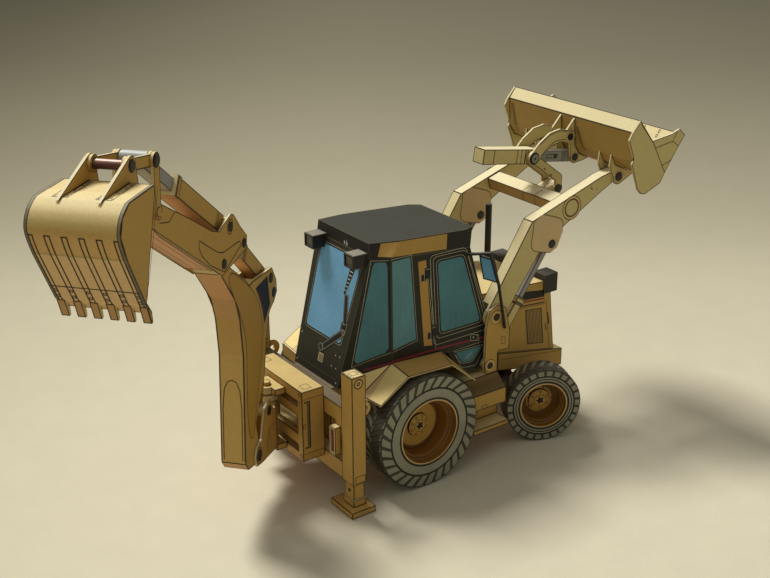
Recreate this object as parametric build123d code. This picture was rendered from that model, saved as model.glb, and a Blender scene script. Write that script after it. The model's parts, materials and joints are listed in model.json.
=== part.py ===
from build123d import *
import math
import os

# Card model of a backhoe loader, 1:32.  Millimetres, +X to the loader end, +Y to the left, +Z up.
# The origin lies on the floor, on the mid-plane, under the rear axle.
# Every box is folded card; what is closed all round is solid, and single sheets have their own thickness.

# ---------------------------------------------------------------- driving dimensions
CARD = 0.5                   # single sheet
PLATE = 0.8                  # doubled sheet
SEAT = 0.02                  # glued faces that only touch
RUN = 0.05                   # radial running clearance of a pin in its hole
SIDE_GAP = 0.2               # side clearance between plates that turn on one pin
PIN_R = 1.1

# wheels
REAR_R = 22.0
REAR_WIDTH = 13.5
REAR_FACE_Y = 35.7
REAR_RIM_R = 12.9
REAR_DISH = 7.7
FRONT_R = 15.2
FRONT_WIDTH = 9.5
FRONT_RIM_R = 9.7
FRONT_DISH = 6.2
TREAD_EDGE = 0.6
RIM_WALL = 0.6
KING_X = 61.9
KING_Y = 23.2
KING_TO_FACE = 13.38         # kingpin to the outer face of the front tyre
STEER = -23.5                # degrees, wheels turned to the right
AXLE_R = 3.6
SPINDLE_R = 1.6
HUB_R = 4.4

# chassis and body
FRAME_HALF = 13.0
FRAME_REAR_X = -28.2
FRAME_Z0 = 15.0
FRAME_Z1 = 40.0
LEDGE_HALF = 16.6
LEDGE_X0 = 48.5
LEDGE_X1 = 83.2
LEDGE_TOP_REAR = 32.6
LEDGE_TOP_FRONT = 25.6
LEDGE_DEPTH = 7.4
HOOD_HALF = 16.0
HOOD_X1 = 76.4
HOOD_TOP_REAR = 60.2
HOOD_TOP_FRONT = 57.6
HOOD_LEAN = 3.2              # the front face leans back by this much towards the top
GRILLE_SLATS = 9
HOOD_GAP = 0.1
CAB_FLOOR_Z = 43.6
CAB_HALF_LOW = 22.0
CAB_HALF_TOP = 21.0
CAB_DIVIDER_X = -7.1         # where the side wall turns into the rear corner pane
CAB_REAR_LOW = (-26.1, 14.5, 38.6)   # lower corner of the rear face, which hangs below the floor
CAB_REAR_TOP = (-13.0, 17.1, 87.0)   # its corner under the roof
CAB_SKIRT_X = -17.0          # where the hanging part of the rear corner ends
CAB_FRONT_X = 40.6
CAB_FRONT_LEAN = 0.275
NOSE_OUTLINE = [             # the part of the side wall that hangs in front of the fender
    (18.8, 44.6),
    (18.8, 43.6),
    (24.3, 35.5),
    (29.0, 33.0),
    (33.4, 32.3),
    (39.6, 44.6),
]
FASCIA_X = (CAB_REAR_TOP[0], 29.1)
FASCIA_Z = CAB_REAR_TOP[2]              # lower edge of the fascia at its rear end
FASCIA_FALL = 0.0926
ROOF_X = (-12.9, 34.2)
ROOF_Z = 92.0
ROOF_FALL = 0.072            # fall of the roof towards the front, per millimetre
ROOF_HALF = 18.0
ROOF_REAR_HALF = 16.2

# fenders
FENDER_IN_Y = CAB_HALF_LOW + SEAT
FENDER_OUT_Y = 33.0

# tank and step boxes
TANK_X0 = 24.6
TANK_X1 = 41.0
TANK_OUT_Y = 30.4
TANK_TOP_Y = 25.0
TANK_TOP_Z = 30.6
STEP_OUT_Y = 32.4
STEP_Z = 12.8
STEP_THICK = 1.8

# rear frame with stabilisers
POST_X0 = -33.9
POST_X1 = -28.22
POST_Y0 = 28.9
POST_Y1 = 35.7
POST_Z0 = 11.1
POST_Z1 = 53.3
LEG_GAP = 0.12
BEAM_X0 = -33.4
BEAM_ROWS = [                # z of the lower edge, z of the upper edge
    (10.9, 17.7),
    (32.6, 39.1),
]
PAD_X = (-36.4, -26.4)
PAD_Y = (25.0, 38.6)
PAD_THICK = 2.2
LEG_TRAVEL_UP = 6.0

# sideshift carriage and swing post
CARR_X0 = -42.8
CARR_X1 = BEAM_X0 - 0.25
CARR_HALF = 17.2
CARR_Z0 = 15.5
CARR_Z1 = 43.1
SWING_X = -47.0
SWING_PIN_R = 1.5
SLEW = 41.0                  # degrees, the boom stands swung to the right

# boom, stick and bucket, in the boom plane (r outwards from the swing pin, z up)
BOOM_HALF = 4.35
CHEEK = 0.45
STICK_HALF = BOOM_HALF + RUN + CHEEK
FOOT = (25.4, 26.6)
BOOM_CYL_BASE = (13.7, 38.0)
BOOM_CYL_EYE = (0.4, 77.3)
STICK_CYL_BASE = (3.0, 83.6)
STICK_PIN = (46.7, 105.2)
STICK_CYL_EYE = (28.6, 105.6)
BUCKET_CYL_BASE = (39.9, 114.9)
LINK_S = (92.5, 137.0)
SIDE_LINK = (-0.9, 13.7)     # from LINK_S to the pivot that the rod and both pairs of links share
LINK_L = (LINK_S[0] + SIDE_LINK[0], LINK_S[1] + SIDE_LINK[1])
EAR_PIN = (106.2, 153.4)
BUCKET_PIN = (104.5, 143.5)
HOE_HALF = 12.2
HOE_TEETH = 6

# loader
ARM_HALF_GAP = 18.8          # inner face of an arm from the mid-plane
ARM_WIDTH = 5.0
ARM_PIVOT = (39.8, 53.5)
LIFT_BASE = (37.2, 34.0)
LIFT_EYE = (67.5, 76.8)
LOADER_PIN = (100.6, 98.0)
LEVER_PIN = (88.2, 90.2)
LINK_RING = (73.9, 105.3)
TILT_TOP = (92.6, 111.0)
TILT_EYE = (96.6, 101.8)
BUCKET_HALF = 36.0
SIDE_PLATE = 0.8
LEVER_IN_Y = 3.4
LEVER_OUT_Y = LEVER_IN_Y + PLATE
LINK_IN_Y = LEVER_OUT_Y + 0.1
LINK_OUT_Y = LINK_IN_Y + PLATE


# ---------------------------------------------------------------- helpers
def box(x0, x1, y0, y1, z0, z1):
    return Pos((x0 + x1) / 2, (y0 + y1) / 2, (z0 + z1) / 2) * Box(x1 - x0, y1 - y0, z1 - z0)


def slab(points, y0, y1):
    """A flat piece with an outline in the X-Z plane, from y0 to y1."""
    wire = Polyline([(x, y0, z) for x, z in points], close=True)
    return extrude(make_face(wire), amount=y1 - y0, dir=(0, 1, 0))


def round_bar(x, z, radius, y0, y1):
    """A pin, eye or ring along Y."""
    return Pos(x, (y0 + y1) / 2, z) * Rot(90, 0, 0) * Cylinder(radius, y1 - y0)


def both(y0, y1, shape_of):
    """The same piece on both sides of the mid-plane."""
    return shape_of(y0, y1) + shape_of(-y1, -y0)


def mirrored(shape):
    return mirror(shape, about=Plane.XZ)


def prism(points, direction, amount):
    """A folded-card facet: any flat polygon pushed along a direction."""
    wire = Polyline(points, close=True)
    return extrude(make_face(wire), amount=amount, dir=direction)


def beam_points(start, end, width, cut_start=0.0, cut_end=0.0):
    """The outline of a straight bar between two points, shortened at its ends."""
    length = math.dist(start, end)
    ux, uz = (end[0] - start[0]) / length, (end[1] - start[1]) / length
    a = (start[0] + ux * cut_start, start[1] + uz * cut_start)
    b = (end[0] - ux * cut_end, end[1] - uz * cut_end)
    nx, nz = -uz * width / 2, ux * width / 2
    return [(a[0] + nx, a[1] + nz), (b[0] + nx, b[1] + nz), (b[0] - nx, b[1] - nz), (a[0] - nx, a[1] - nz)]


def toward(start, end, distance):
    length = math.dist(start, end)
    return (start[0] + (end[0] - start[0]) * distance / length, start[1] + (end[1] - start[1]) * distance / length)


def link_plate(a, b, radius, y0, y1, waist=0.8):
    """A flat link with round ends and a slightly narrower waist."""
    body = slab(beam_points(a, b, 2 * radius * waist), y0, y1)
    return body + round_bar(*a, radius, y0, y1) + round_bar(*b, radius, y0, y1)


def hoe(shape):
    """From the boom plane to the vehicle."""
    return Pos(SWING_X, 0, 0) * Rot(0, 0, 180 + SLEW) * shape


PARTS = {}


def keep(name, shape):
    PARTS[name] = shape


# ---------------------------------------------------------------- wheels
def wheel_tyre(radius, rim_r, width):
    outline = [
        (rim_r + SEAT, 0),
        (radius - TREAD_EDGE, 0),
        (radius, TREAD_EDGE),
        (radius, width - TREAD_EDGE),
        (radius - TREAD_EDGE, width),
        (rim_r + SEAT, width),
    ]
    wire = Polyline([(r, 0, a) for r, a in outline], close=True)
    return revolve(make_face(wire), axis=Axis.Z)


def wheel_rim(rim_r, width, dish, bore_depth):
    """A deep dish, open to the outside, with a hub boss and a blind bore from the inner side."""
    step_r = rim_r * 0.86
    bore_end = width - bore_depth
    outline = [
        (0, dish - 1.6),
        (HUB_R * 0.55, dish - 1.6),
        (HUB_R, dish - 0.8),
        (HUB_R, dish),
        (step_r - RIM_WALL, dish),
        (step_r - RIM_WALL, dish * 0.45),
        (rim_r - RIM_WALL, dish * 0.3),
        (rim_r - RIM_WALL, 0),
        (rim_r, 0),
        (rim_r, width),
        (SPINDLE_R + RUN, width),
        (SPINDLE_R + RUN, bore_end),
        (0, bore_end),
    ]
    wire = Polyline([(r, 0, a) for r, a in outline], close=True)
    return revolve(make_face(wire), axis=Axis.Z)


def on_rear_axle(shape, side):
    """Local Z runs inwards from the outer face; side is -1 on the right and +1 on the left."""
    turn = Rot(-90, 0, 0) if side < 0 else Rot(90, 0, 0)
    return Pos(0, side * REAR_FACE_Y, REAR_R) * turn * shape


def on_front_axle(shape, side):
    turn = Rot(-90, 0, 0) if side < 0 else Rot(90, 0, 0)
    knuckle = Pos(KING_X, side * KING_Y, 0) * Rot(0, 0, STEER)
    return knuckle * Pos(0, side * KING_TO_FACE, FRONT_R) * turn * shape


REAR_BORE = REAR_WIDTH - REAR_DISH - 0.6
FRONT_BORE = FRONT_WIDTH - FRONT_DISH - 0.4
for side, word in ((-1, "right"), (1, "left")):
    keep(f"rear_tyre_{word}", on_rear_axle(wheel_tyre(REAR_R, REAR_RIM_R, REAR_WIDTH), side))
    keep(f"rear_rim_{word}", on_rear_axle(wheel_rim(REAR_RIM_R, REAR_WIDTH, REAR_DISH, REAR_BORE), side))
    keep(f"front_tyre_{word}", on_front_axle(wheel_tyre(FRONT_R, FRONT_RIM_R, FRONT_WIDTH), side))
    keep(f"front_rim_{word}", on_front_axle(wheel_rim(FRONT_RIM_R, FRONT_WIDTH, FRONT_DISH, FRONT_BORE), side))


# ---------------------------------------------------------------- axles and knuckles
REAR_INNER_Y = REAR_FACE_Y - REAR_WIDTH
REAR_SHAFT_END = REAR_INNER_Y + REAR_BORE - 0.3
AXLE_END_Y = REAR_INNER_Y - 0.3


def rear_axle():
    tube = round_bar(0, REAR_R, AXLE_R, -AXLE_END_Y, AXLE_END_Y)
    shaft = round_bar(0, REAR_R, SPINDLE_R, -REAR_SHAFT_END, REAR_SHAFT_END)
    flanges = both(AXLE_END_Y - 1.6, AXLE_END_Y, lambda a, b: round_bar(0, REAR_R, AXLE_R + 1.8, a, b))
    return tube + shaft + flanges


keep("rear_axle", rear_axle())

EYE_HALF = 2.0
KING_PIN_R = 0.9
EYE_R = 2.0
BEAM_TOP_Z = FRONT_R + 3.0
FORK_T = 1.2
WEB_T = 1.2
SADDLE_X = 4.5
SADDLE_Y = 5.0


def front_axle():
    beam = box(KING_X - 1.9, KING_X + 1.9, -KING_Y, KING_Y, FRONT_R - EYE_HALF, FRONT_R + EYE_HALF)
    hump = box(KING_X - SADDLE_X, KING_X + SADDLE_X, -SADDLE_Y, SADDLE_Y, FRONT_R - EYE_HALF, BEAM_TOP_Z)
    body = beam + hump
    for side in (-1, 1):
        eye = Pos(KING_X, side * KING_Y, FRONT_R) * Cylinder(EYE_R, 2 * EYE_HALF)
        hole = Pos(KING_X, side * KING_Y, FRONT_R) * Cylinder(KING_PIN_R + RUN, 4 * EYE_HALF)
        body = body + eye - hole
    return body


keep("front_axle", front_axle())


def knuckle(side):
    z_fork = EYE_HALF + 0.1
    web_y0 = EYE_R + 0.15
    inner_face = KING_TO_FACE - FRONT_WIDTH
    pin = Pos(0, 0, 0) * Cylinder(KING_PIN_R, 2 * (z_fork + FORK_T))
    body = pin
    for up in (-1, 1):
        z_mid = up * (z_fork + FORK_T / 2)
        body = body + Pos(0, 0, z_mid) * Cylinder(EYE_R, FORK_T)
        body = body + Pos(0, web_y0 / 2 + WEB_T / 4, z_mid) * Box(2 * EYE_R, web_y0 + WEB_T / 2, FORK_T)
    web = box(-EYE_R, EYE_R, web_y0, web_y0 + WEB_T, -z_fork - FORK_T, z_fork + FORK_T)
    spindle_end = inner_face + FRONT_BORE - 0.3
    spindle = Pos(0, (web_y0 + spindle_end) / 2, 0) * Rot(90, 0, 0) * Cylinder(SPINDLE_R, spindle_end - web_y0)
    body = body + web + spindle
    if side < 0:
        body = mirrored(body)
    return Pos(KING_X, side * KING_Y, FRONT_R) * Rot(0, 0, STEER) * body


keep("knuckle_right", knuckle(-1))
keep("knuckle_left", knuckle(1))


# ---------------------------------------------------------------- chassis and body
def ledge_top(x):
    return LEDGE_TOP_REAR + (LEDGE_TOP_FRONT - LEDGE_TOP_REAR) * (x - LEDGE_X0) / (LEDGE_X1 - LEDGE_X0)


LEDGE_OUTLINE = [
    (LEDGE_X0, ledge_top(LEDGE_X0)),
    (LEDGE_X1, ledge_top(LEDGE_X1)),
    (LEDGE_X1, ledge_top(LEDGE_X1) - LEDGE_DEPTH),
    (LEDGE_X0, ledge_top(LEDGE_X0) - LEDGE_DEPTH),
]


def chassis():
    main = box(FRAME_REAR_X, LEDGE_X0, -FRAME_HALF, FRAME_HALF, FRAME_Z0, LEDGE_TOP_REAR)
    skirt_z = CAB_REAR_LOW[2] - SEAT
    base_x1 = NOSE_OUTLINE[0][0] - 0.3
    cab_base = box(FRAME_REAR_X, base_x1, -FRAME_HALF, FRAME_HALF, LEDGE_TOP_REAR - 1, skirt_z)
    cab_floor = box(CAB_SKIRT_X + SEAT, base_x1, -FRAME_HALF, FRAME_HALF, skirt_z - 1, CAB_FLOOR_Z - SEAT)
    nose = slab(LEDGE_OUTLINE, -LEDGE_HALF, LEDGE_HALF)
    saddle = box(KING_X - SADDLE_X, KING_X + SADDLE_X, -SADDLE_Y, SADDLE_Y, BEAM_TOP_Z, ledge_top(KING_X) - 1)
    body = main + cab_base + cab_floor + nose + saddle
    axle_way = round_bar(0, REAR_R, AXLE_R + SEAT, -REAR_FACE_Y, REAR_FACE_Y)
    return body - axle_way


keep("chassis", chassis())


def cab_front(z):
    return CAB_FRONT_X - (z - CAB_FLOOR_Z) * CAB_FRONT_LEAN


def cab_rear(z):
    """x of the cab's rear face at height z."""
    low, top = CAB_REAR_LOW, CAB_REAR_TOP
    return low[0] + (top[0] - low[0]) * (z - low[2]) / (top[2] - low[2])


def cab_rear_half(z):
    """Half the width of the rear face at height z."""
    low, top = CAB_REAR_LOW, CAB_REAR_TOP
    return low[1] + (top[1] - low[1]) * (z - low[2]) / (top[2] - low[2])


def pane_y(x, z):
    """y of the rear corner pane at a point between the rear face and the divider."""
    rear_x, rear_y = cab_rear(z), cab_rear_half(z)
    lean = (CAB_HALF_LOW - CAB_HALF_TOP) / (FASCIA_Z - CAB_FLOOR_Z)
    side_y = CAB_HALF_LOW - (z - CAB_FLOOR_Z) * lean
    return rear_y + (side_y - rear_y) * (x - rear_x) / (CAB_DIVIDER_X - rear_x)


HOOD_OUTLINE = [
    (NOSE_OUTLINE[4][0] + HOOD_GAP + 0.2, LEDGE_TOP_REAR),
    (LEDGE_X0, LEDGE_TOP_REAR),
    (HOOD_X1 + 2.4, ledge_top(HOOD_X1 + 2.4)),
    (HOOD_X1 + 2.4 - HOOD_LEAN, HOOD_TOP_FRONT - 4.6),
    (HOOD_X1 - HOOD_LEAN, HOOD_TOP_FRONT),
    (cab_front(HOOD_TOP_REAR) + HOOD_GAP, HOOD_TOP_REAR),
    (cab_front(CAB_FLOOR_Z) + HOOD_GAP, CAB_FLOOR_Z - HOOD_GAP),
    (NOSE_OUTLINE[5][0] - 0.4, CAB_FLOOR_Z - HOOD_GAP),
]


def grille_line(z):
    """x of the hood's front face at height z."""
    low, high = HOOD_OUTLINE[2], HOOD_OUTLINE[3]
    return low[0] + (high[0] - low[0]) * (z - low[1]) / (high[1] - low[1])


GRILLE_Z0 = 28.6
GRILLE_Z1 = 51.6
GRILLE_HALF = 11.5
GRILLE_DEPTH = 1.6


def hood():
    body = slab(HOOD_OUTLINE, -HOOD_HALF, HOOD_HALF)
    pocket = slab([
        (grille_line(GRILLE_Z0) - GRILLE_DEPTH, GRILLE_Z0),
        (grille_line(GRILLE_Z0) + 1, GRILLE_Z0),
        (grille_line(GRILLE_Z1) + 1, GRILLE_Z1),
        (grille_line(GRILLE_Z1) - GRILLE_DEPTH, GRILLE_Z1),
    ], -GRILLE_HALF, GRILLE_HALF)
    return body - pocket


keep("hood", hood())


def grille():
    """A backing sheet with a slat at every pitch, seated in the hood's pocket."""
    back0, back1 = GRILLE_DEPTH - SEAT, GRILLE_DEPTH - 0.6
    z0, z1 = GRILLE_Z0 + 0.05, GRILLE_Z1 - 0.05
    sheet = slab([
        (grille_line(z0) - back0, z0),
        (grille_line(z0) - back1, z0),
        (grille_line(z1) - back1, z1),
        (grille_line(z1) - back0, z1),
    ], -GRILLE_HALF + 0.05, GRILLE_HALF - 0.05)
    pitch = (z1 - z0) / GRILLE_SLATS
    for row in range(GRILLE_SLATS):
        z = z0 + pitch * row
        top = z + pitch * 0.45
        sheet = sheet + slab([
            (grille_line(z) - back0 + 0.2, z),
            (grille_line(z) - 0.1, z),
            (grille_line(top) - 0.5, top),
            (grille_line(top) - back0 + 0.2, top),
        ], -GRILLE_HALF + 0.05, GRILLE_HALF - 0.05)
    return sheet


keep("grille", grille())

# the cab: the rear face leans forwards, the sides lean in, and a wedge hangs in front of the fender
def octagon(rows, height):
    """A section of the cab or roof: four corners of one side, then the same mirrored."""
    ring = rows + [(x, -y) for x, y in reversed(rows)]
    return make_face(Polyline([(x, y, height(x)) for x, y in ring], close=True))


def fascia_under(x):
    return FASCIA_Z - (x - FASCIA_X[0]) * FASCIA_FALL


def roof_top(x):
    return ROOF_Z - (x - ROOF_X[0]) * ROOF_FALL


CAB_FLOOR_ROWS = [
    (cab_rear(CAB_FLOOR_Z), cab_rear_half(CAB_FLOOR_Z)),
    (CAB_DIVIDER_X, CAB_HALF_LOW),
    (CAB_FRONT_X - 4.0, CAB_HALF_LOW),
    (CAB_FRONT_X, CAB_HALF_LOW),
]
FASCIA_ROWS = [
    (FASCIA_X[0], CAB_REAR_TOP[1]),
    (CAB_DIVIDER_X + 0.3, CAB_HALF_TOP),
    (FASCIA_X[1] - 3.0, CAB_HALF_TOP),
    (FASCIA_X[1], CAB_HALF_TOP),
]
ROOF_ROWS = [
    (ROOF_X[0], ROOF_REAR_HALF),
    (ROOF_X[0] + 11.8, ROOF_HALF),
    (ROOF_X[1] - 4.5, ROOF_HALF),
    (ROOF_X[1], ROOF_HALF - 2.2),
]


def cab_skirt(z):
    """A section of the part of the rear corner that hangs below the floor."""
    rows = [(cab_rear(z), cab_rear_half(z)), (CAB_SKIRT_X, pane_y(CAB_SKIRT_X, z))]
    return octagon(rows, lambda x: z)


def cab_shell():
    low = octagon(CAB_FLOOR_ROWS, lambda x: CAB_FLOOR_Z)
    top = octagon(FASCIA_ROWS, lambda x: fascia_under(x) - SEAT)
    body = loft([low, top], ruled=True)
    body = body + loft([cab_skirt(CAB_REAR_LOW[2]), cab_skirt(CAB_FLOOR_Z)], ruled=True)
    nose = slab(NOSE_OUTLINE, -CAB_HALF_LOW + 0.01, CAB_HALF_LOW - 0.01)
    belly = box(LEDGE_X0 - 30, LEDGE_X0, -FRAME_HALF - SEAT, FRAME_HALF + SEAT, 20, LEDGE_TOP_REAR + SEAT)
    return body + nose - belly


keep("cab_shell", cab_shell())


def cab_roof():
    """A closed lid: a sloping top over a fascia that flares to the walls."""
    return loft([octagon(FASCIA_ROWS, fascia_under), octagon(ROOF_ROWS, roof_top)], ruled=True)


keep("cab_roof", cab_roof())


FENDER_REAR_Z = 42.5             # where the fender's rear edge meets the cab's corner pane
FENDER_FOLD = (-20.7, 21.9, 37.4)
FLAP_DROP = 5.0


def sheet_of(points):
    """A flat piece of card with its upper face through the points, in triangles."""
    body = prism(points[:3], (0, 0, -1), CARD)
    for second, third in zip(points[2:], points[3:]):
        body = body + prism([points[0], second, third], (0, 0, -1), CARD)
    return body


def fender(side):
    """Folded card over the rear wheel, hung from the cab's side and its rear corner pane."""
    inn, out = FENDER_IN_Y, FENDER_OUT_Y
    apex = (-7.1, inn, 46.4)
    rear_in = (-21.4, pane_y(-21.4, FENDER_REAR_Z) + 3 * SEAT, FENDER_REAR_Z)
    rear_out = (-19.9, out, 37.7)
    mid_out = (-7.6, out, 45.5)
    front_out = (12.0, out, 44.8)
    front_in = (15.5, inn, 45.0)
    tip_out = (23.3, out, 35.3)
    tip_in = (26.0, inn, 34.4)
    facets = [
        (apex, mid_out, front_out, front_in),
        (apex, rear_out, mid_out),
        (apex, FENDER_FOLD, rear_out),
        (apex, rear_in, FENDER_FOLD),
        (front_in, front_out, tip_out, tip_in),
    ]
    body = None
    for facet in facets:
        sheet = sheet_of(facet)
        body = sheet if body is None else body + sheet
    if side > 0:
        edge = [FENDER_FOLD, rear_out]
        flap = edge + [(x, y, z - FLAP_DROP) for x, y, z in reversed(edge)]
        return body + prism(flap[:3], (-1, 0, 0), CARD) + prism([flap[0], *flap[2:]], (-1, 0, 0), CARD)
    return mirrored(body)


keep("fender_right", fender(-1))
keep("fender_left", fender(1))


def tank(side):
    """A box with a sloping top over a recessed foot, and the step plate under it."""
    y_in = FRAME_HALF + SEAT
    top = [
        (y_in, TANK_TOP_Z),
        (TANK_TOP_Y, TANK_TOP_Z),
        (TANK_OUT_Y, 26.2),
        (TANK_OUT_Y, 19.8),
        (25.4, 19.8),
        (25.4, STEP_Z),
        (y_in, STEP_Z),
    ]
    wire = Polyline([(TANK_X0, y, z) for y, z in top], close=True)
    body = extrude(make_face(wire), amount=TANK_X1 - TANK_X0, dir=(1, 0, 0))
    step = box(TANK_X0 - 1.0, TANK_X1, y_in, STEP_OUT_Y, STEP_Z - STEP_THICK, STEP_Z)
    body = body + step
    return body if side > 0 else mirrored(body)


keep("tank_right", tank(-1))
keep("tank_left", tank(1))

# loader towers: an outer and an inner plate each side of the arm, on a foot that stands on the tank
ARM_OUT = ARM_HALF_GAP + ARM_WIDTH
TOWER_OUT = ARM_OUT + SIDE_GAP
TOWER_IN = ARM_HALF_GAP - SIDE_GAP
TOWER_FOOT_Z = TANK_TOP_Z + SEAT
TOWER_OUTLINE = [
    (35.6, TOWER_FOOT_Z),
    (41.0, TOWER_FOOT_Z),
    (41.0, 39.2),
    (46.6, 38.7),
    (46.8, 46.0),
    (44.6, 56.4),
    (40.4, 58.6),
    (36.4, 57.0),
    (34.8, 50.0),
    (34.4, 33.0),
]
TOWER_INNER_X = 41.2


def tower(side):
    head = TOWER_OUT + PLATE + 0.4
    inner_pin = 0.15
    body = slab(TOWER_OUTLINE, TOWER_OUT, TOWER_OUT + PLATE)
    inner = slab(TOWER_OUTLINE, TOWER_IN - PLATE, TOWER_IN)
    cab_room = slab([
        (0, 20),
        (NOSE_OUTLINE[4][0] + inner_pin, 20),
        (NOSE_OUTLINE[4][0] + inner_pin, NOSE_OUTLINE[4][1]),
        (NOSE_OUTLINE[5][0] - 0.4, CAB_FLOOR_Z - inner_pin),
        (cab_front(CAB_FLOOR_Z) + inner_pin, CAB_FLOOR_Z - inner_pin),
        (cab_front(70) + inner_pin, 70),
        (0, 70),
    ], 0, CAB_HALF_LOW + 0.3)
    body = body + inner + box(36.0, 41.0, TOWER_IN - PLATE, TOWER_OUT + PLATE, TOWER_FOOT_Z, TOWER_FOOT_Z + 0.9)
    body = body + box(41.4, 46.2, HOOD_HALF + SEAT, TOWER_IN - PLATE + 0.1, 39.6, 46.0)
    body = body + round_bar(*ARM_PIVOT, PIN_R, TOWER_IN - PLATE, head)
    body = body + round_bar(*LIFT_BASE, PIN_R, TOWER_IN - PLATE, head)
    body = body + round_bar(*LIFT_BASE, 2.3, TOWER_OUT, TOWER_OUT + PLATE + 0.2) - cab_room
    return body if side > 0 else mirrored(body)


STACK = (63.4, 9.0)


def exhaust_stack():
    z0 = (HOOD_TOP_REAR + HOOD_TOP_FRONT) / 2
    foot = Pos(STACK[0], STACK[1], z0 + 0.4) * Cylinder(2.2, 2.4)
    pipe = Pos(STACK[0], STACK[1], (z0 + 85.0) / 2) * Cylinder(1.3, 85.0 - z0)
    below = Pos(0, 0, SEAT) * slab(HOOD_OUTLINE, -HOOD_HALF, HOOD_HALF)
    return foot + pipe - below


keep("exhaust_stack", exhaust_stack())


LAMP_X0 = 71.6
LAMP_X1 = 78.4
LAMP_Y0 = 10.2
LAMP_Y1 = 16.8
LAMP_Z0 = 52.6
LAMP_Z1 = 60.4


def headlamp(side):
    """A box on the hood's front corner with a recessed lens."""
    lamp = box(LAMP_X0, LAMP_X1, LAMP_Y0, LAMP_Y1, LAMP_Z0, LAMP_Z1)
    lens = box(LAMP_X1 - 0.4, LAMP_X1 + 1, LAMP_Y0 + CARD, LAMP_Y1 - CARD, LAMP_Z0 + CARD, LAMP_Z1 - CARD)
    below = slab(HOOD_OUTLINE, -HOOD_HALF - SEAT, HOOD_HALF + SEAT)
    body = lamp - lens - below - Pos(SEAT, 0, SEAT) * below
    return body if side > 0 else mirrored(body)


keep("headlamp_right", headlamp(-1))
keep("headlamp_left", headlamp(1))


LAMP_GAP = 0.1
WORK_LAMP_X = 6.4                # how far it stands back from the rear face
WORK_LAMP_Y = (6.9, 1.3)         # its sides, inwards from the rear face's corner
WORK_LAMP_Z = (3.6, 1.4)         # below and above the fascia's edge
WORK_LAMP_RIM = 0.6


def work_lamp(side):
    """A box lamp on the cab's rear face under the roof's corner, looking back."""
    x0 = CAB_REAR_TOP[0] - WORK_LAMP_X
    y0, y1 = (CAB_REAR_TOP[1] - inset for inset in WORK_LAMP_Y)
    z0, z1 = FASCIA_Z - WORK_LAMP_Z[0], FASCIA_Z + WORK_LAMP_Z[1]
    back = cab_rear(FASCIA_Z) - LAMP_GAP
    outline = [(x0, z0), (cab_rear(z0) - LAMP_GAP, z0), (back, FASCIA_Z), (back, z1), (x0, z1)]
    rim = WORK_LAMP_RIM
    body = slab(outline, y0, y1) - box(x0 - rim, x0 + rim, y0 + rim, y1 - rim, z0 + rim, z1 - rim)
    return body if side > 0 else mirrored(body)


keep("work_lamp_right", work_lamp(-1))
keep("work_lamp_left", work_lamp(1))


def rod_between(start, end, radius):
    span = Vector(*end) - Vector(*start)
    bar = Solid.make_cylinder(radius, span.length, Plane(origin=start, z_dir=tuple(span)))
    return bar + Pos(*end) * Sphere(radius)


MIRROR_ROD = [
    (28.0, CAB_HALF_TOP + 0.2, 80.6),
    (32.3, 28.8, 82.2),
    (36.9, 28.8, 68.6),
    (43.6, TOWER_OUT + PLATE + 0.6, 48.6),
]
MIRROR_FACE = [
    (31.8, 23.0, 79.9),
    (33.6, 28.9, 79.7),
    (36.3, 28.9, 69.6),
    (34.1, 23.0, 69.9),
]


def mirror_and_rod(side):
    """A mirror plate on a bent rod from the roof's front corner down to the tower."""
    body = prism(MIRROR_FACE[:3], (1, 0, 0), PLATE) + prism([MIRROR_FACE[0], *MIRROR_FACE[2:]], (1, 0, 0), PLATE)
    for start, end in zip(MIRROR_ROD, MIRROR_ROD[1:]):
        body = body + rod_between(start, end, 0.6)
    wall = Pos(0, 0.02, 0) * cab_shell()
    body = body - wall - box(30, 50, 10, TOWER_OUT + PLATE + SEAT, 40, 60)
    return body if side > 0 else mirrored(body)


keep("mirror_right", mirror_and_rod(-1))
keep("mirror_left", mirror_and_rod(1))


# ---------------------------------------------------------------- rear frame and stabilisers
LEG_X0 = POST_X0 + CARD
LEG_X1 = POST_X1 - CARD
LEG_Y0 = POST_Y0 + CARD
LEG_Y1 = POST_Y1 - CARD


def rear_frame():
    body = None
    for side in (-1, 1):
        y0, y1 = sorted((side * POST_Y0, side * POST_Y1))
        post = box(POST_X0, POST_X1, y0, y1, POST_Z0, POST_Z1)
        body = post if body is None else body + post
    for z0, z1 in BEAM_ROWS:
        body = body + box(BEAM_X0, POST_X1, -POST_Y0 - 0.5, POST_Y0 + 0.5, z0, z1)
    for side in (-1, 1):
        y0, y1 = sorted((side * 24.0, side * (POST_Y0 + 0.5)))
        body = body + box(BEAM_X0, BEAM_X0 + PLATE, y0, y1, 28.0, 33.0)
        lug = round_bar(-26.6, 38.0, 3.4, *sorted((side * 30.6, side * 31.8)))
        lug = lug + box(POST_X1 - 0.5, -26.6, *sorted((side * 30.6, side * 31.8)), 34.6, 41.4)
        body = body + lug - round_bar(-26.2, 38.0, 1.2, *sorted((side * 30.0, side * 32.4)))
        sleeve = sorted((side * LEG_Y0, side * LEG_Y1))
        body = body - box(LEG_X0, LEG_X1, *sleeve, POST_Z0 - 1, POST_Z1 - CARD)
    return body


keep("rear_frame", rear_frame())


def stabiliser(side):
    """The inner leg slides in the post; its shoe and pad stand on the floor."""
    leg = box(LEG_X0 + LEG_GAP, LEG_X1 - LEG_GAP, LEG_Y0 + LEG_GAP, LEG_Y1 - LEG_GAP, PAD_THICK, POST_Z1 - CARD - LEG_TRAVEL_UP - 1)
    shoe = box(POST_X0 + 0.2, POST_X1 - 0.2, POST_Y0 + 0.2, POST_Y1 - 0.2, PAD_THICK - 0.2, PAD_THICK + 2.6)
    pad = box(*PAD_X, *PAD_Y, 0, PAD_THICK)
    body = leg + shoe + pad
    return body if side > 0 else mirrored(body)


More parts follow.
